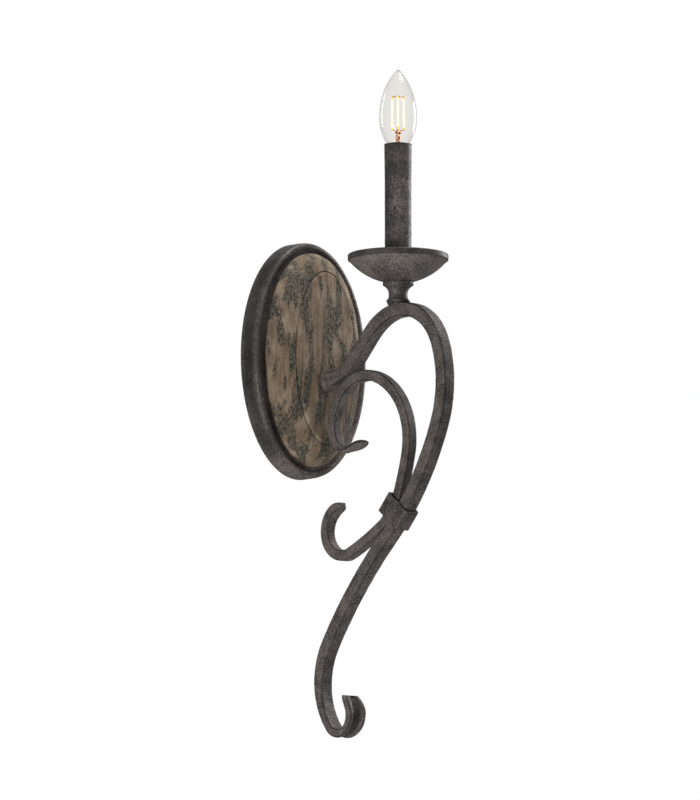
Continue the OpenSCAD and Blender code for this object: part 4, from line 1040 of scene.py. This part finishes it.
class WALLLIGHT_OT_small_parts(bpy.types.Operator):
    """Give the fixings, the socket and the wires their finishes"""
    bl_idname = "wall_light.small_parts"
    bl_label = "Small parts"

    def execute(self, context):
        iron = iron_material("Screw iron")
        finishes = [(iron, ("pan_set_screws",))]
        finishes += [(grained_material(*finish), nodes) for *finish, nodes in SMALL_PARTS]
        for material, nodes in finishes:
            for node in nodes:
                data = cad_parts[node].data
                data.materials.clear()
                data.materials.append(material)
        return {"FINISHED"}


TARGET = np.array([0.0, -0.103, -0.048])
TARGET_PIXEL = np.array([373.93, 402.76])
PICTURE = np.array([700, 800])
MM_A_PIXEL, SENSOR = 0.92, 36.0
LAMP_TARGET = np.array([0, -0.1, -0.05])
FLOOR_HALF, FLOOR_Z, FLOOR_GLOW = 8.0, -1.30, 0.45


def way_to(azimuth, elevation):
    """Unit vector towards an azimuth and elevation; azimuth 0 is straight out of the wall."""
    a, e = math.radians(azimuth), math.radians(elevation)
    return np.array([math.sin(a) * math.cos(e), -math.cos(a) * math.cos(e), math.sin(e)])


class WALLLIGHT_OT_stage(bpy.types.Operator):
    """Set the camera, the lamps, the pale floor and the white surroundings"""
    bl_idname = "wall_light.stage"
    bl_label = "Stage"

    def execute(self, context):
        stage = context.scene.wall_light_stage
        context.scene.view_settings.view_transform = "Standard"
        self.camera(context.scene, stage)
        self.floor()
        self.surroundings(context.scene, stage.ambient)
        self.lamp("key", (30, 70), 2.2, 0.9, stage.key)
        self.lamp("side", (-72, -22), 2.4, 1.2, stage.key * 0.98)
        self.lamp("edge", (84, 14), 2.2, 0.9, stage.key * 0.42)
        return {"FINISHED"}

    def camera(self, scene, stage):
        """A long lens whose scale is the photograph's millimetres in a pixel at the target."""
        data = bpy.data.cameras.new("Camera")
        data.sensor_width = SENSOR
        data.lens = SENSOR * stage.distance / MM / (PICTURE[1] * MM_A_PIXEL)
        offset = (TARGET_PIXEL - PICTURE / 2) / PICTURE[1]
        data.shift_x, data.shift_y = -offset[0], offset[1]
        data.clip_end = 50
        camera = bpy.data.objects.new("Camera", data)
        self.turn(camera, TARGET, (stage.azimuth, stage.elevation), stage.distance)
        scene.camera = camera

    def lamp(self, name, place, distance, size, power):
        """A soft square lamp turned towards the middle of the fixture."""
        data = bpy.data.lights.new(name, "AREA")
        data.size, data.energy = size, power
        self.turn(bpy.data.objects.new(name, data), LAMP_TARGET, place, distance)

    @staticmethod
    def turn(thing, target, place, distance):
        """Puts a camera or lamp at an azimuth and elevation, turned towards the target."""
        azimuth, elevation = place
        thing.location = target + way_to(azimuth, elevation) * distance
        thing.rotation_euler = (math.radians(90 - elevation), 0.0, math.radians(azimuth))
        bpy.context.scene.collection.objects.link(thing)

    def floor(self):
        """A large pale square under the light, which the camera sees a little brighter."""
        half, z = FLOOR_HALF, FLOOR_Z
        mesh = bpy.data.meshes.new("floor")
        mesh.from_pydata([(-half, -half, z), (half, -half, z), (half, half, z), (-half, half, z)],
                         [], [(0, 1, 2, 3)])
        floor = bpy.data.objects.new("floor", mesh)
        bpy.context.scene.collection.objects.link(floor)
        pale = grained_material("Pale floor", (0.70, 0.69, 0.68), 0.0, 0.8, 0.03, 8.0)
        w = Wiring(pale.node_tree)
        seen = w.add("ShaderNodeLightPath").outputs["Is Camera Ray"]
        w.feed(pale.node_tree.nodes["Principled BSDF"], {
            "Emission Color": (1, 1, 1, 1),
            "Emission Strength": w.maths("MULTIPLY", seen, FLOOR_GLOW)})
        floor.data.materials.append(pale)

    def surroundings(self, scene, ambient):
        """White where the camera or the glass looks, half of it in gloss, and an even light on
        everything else."""
        world = bpy.data.worlds.new("Surroundings")
        world.use_nodes = True
        scene.world = world
        w = Wiring(world.node_tree)
        path = w.add("ShaderNodeLightPath").outputs
        seen = w.maths("MAXIMUM", path["Is Camera Ray"], path["Is Transmission Ray"])
        seen = w.maths("MAXIMUM", seen, w.maths("MULTIPLY", path["Is Glossy Ray"], 0.5))
        w.feed(world.node_tree.nodes["Background"], {
            "Color": (1, 1, 1, 1), "Strength": w.limits(seen, 0.0, 1.0, ambient, 1.0)})


class WALLLIGHT_PT_panel(bpy.types.Panel):
    """Panel that lists the settings and the pieces of the wall light"""
    bl_label = "Candle wall light"
    bl_idname = "WALLLIGHT_PT_panel"
    bl_space_type = "VIEW_3D"
    bl_region_type = "UI"
    bl_category = "Wall light"

    def draw(self, context):
        for group in SETTINGS:
            box = self.layout.box()
            values = getattr(context.scene, group)
            for key in values.bl_rna.properties.keys():
                if key not in {"rna_type", "name"}:
                    box.prop(values, key)
        for operator in OPERATORS:
            self.layout.operator(operator.bl_idname)


SETTINGS = {
    "wall_light_plate": PlateSettings,
    "wall_light_bars": BarSettings,
    "wall_light_candle": CandleSettings,
    "wall_light_finish": FinishSettings,
    "wall_light_stage": StageSettings,
}
OPERATORS = (
    WALLLIGHT_OT_stage, WALLLIGHT_OT_back_pan, WALLLIGHT_OT_plaque, WALLLIGHT_OT_scrolls,
    WALLLIGHT_OT_collar, WALLLIGHT_OT_stem, WALLLIGHT_OT_dish, WALLLIGHT_OT_sleeve,
    WALLLIGHT_OT_bulb, WALLLIGHT_OT_small_parts,
)


def register():
    """Registers the settings, the operators and the panel."""
    for cls in (*SETTINGS.values(), *OPERATORS, WALLLIGHT_PT_panel):
        bpy.utils.register_class(cls)
    for name, cls in SETTINGS.items():
        setattr(bpy.types.Scene, name, PointerProperty(type=cls))


def unregister():
    """Takes the settings, the operators and the panel out again."""
    for name in SETTINGS:
        delattr(bpy.types.Scene, name)
    for cls in (WALLLIGHT_PT_panel, *reversed(OPERATORS), *reversed(SETTINGS.values())):
        bpy.utils.unregister_class(cls)


def main():
    """Makes every piece in order."""
    register()
    for operator in OPERATORS:
        family, name = operator.bl_idname.split(".")
        getattr(getattr(bpy.ops, family), name)()
    bpy.context.view_layer.update()


if __name__ == "__main__":
    main()
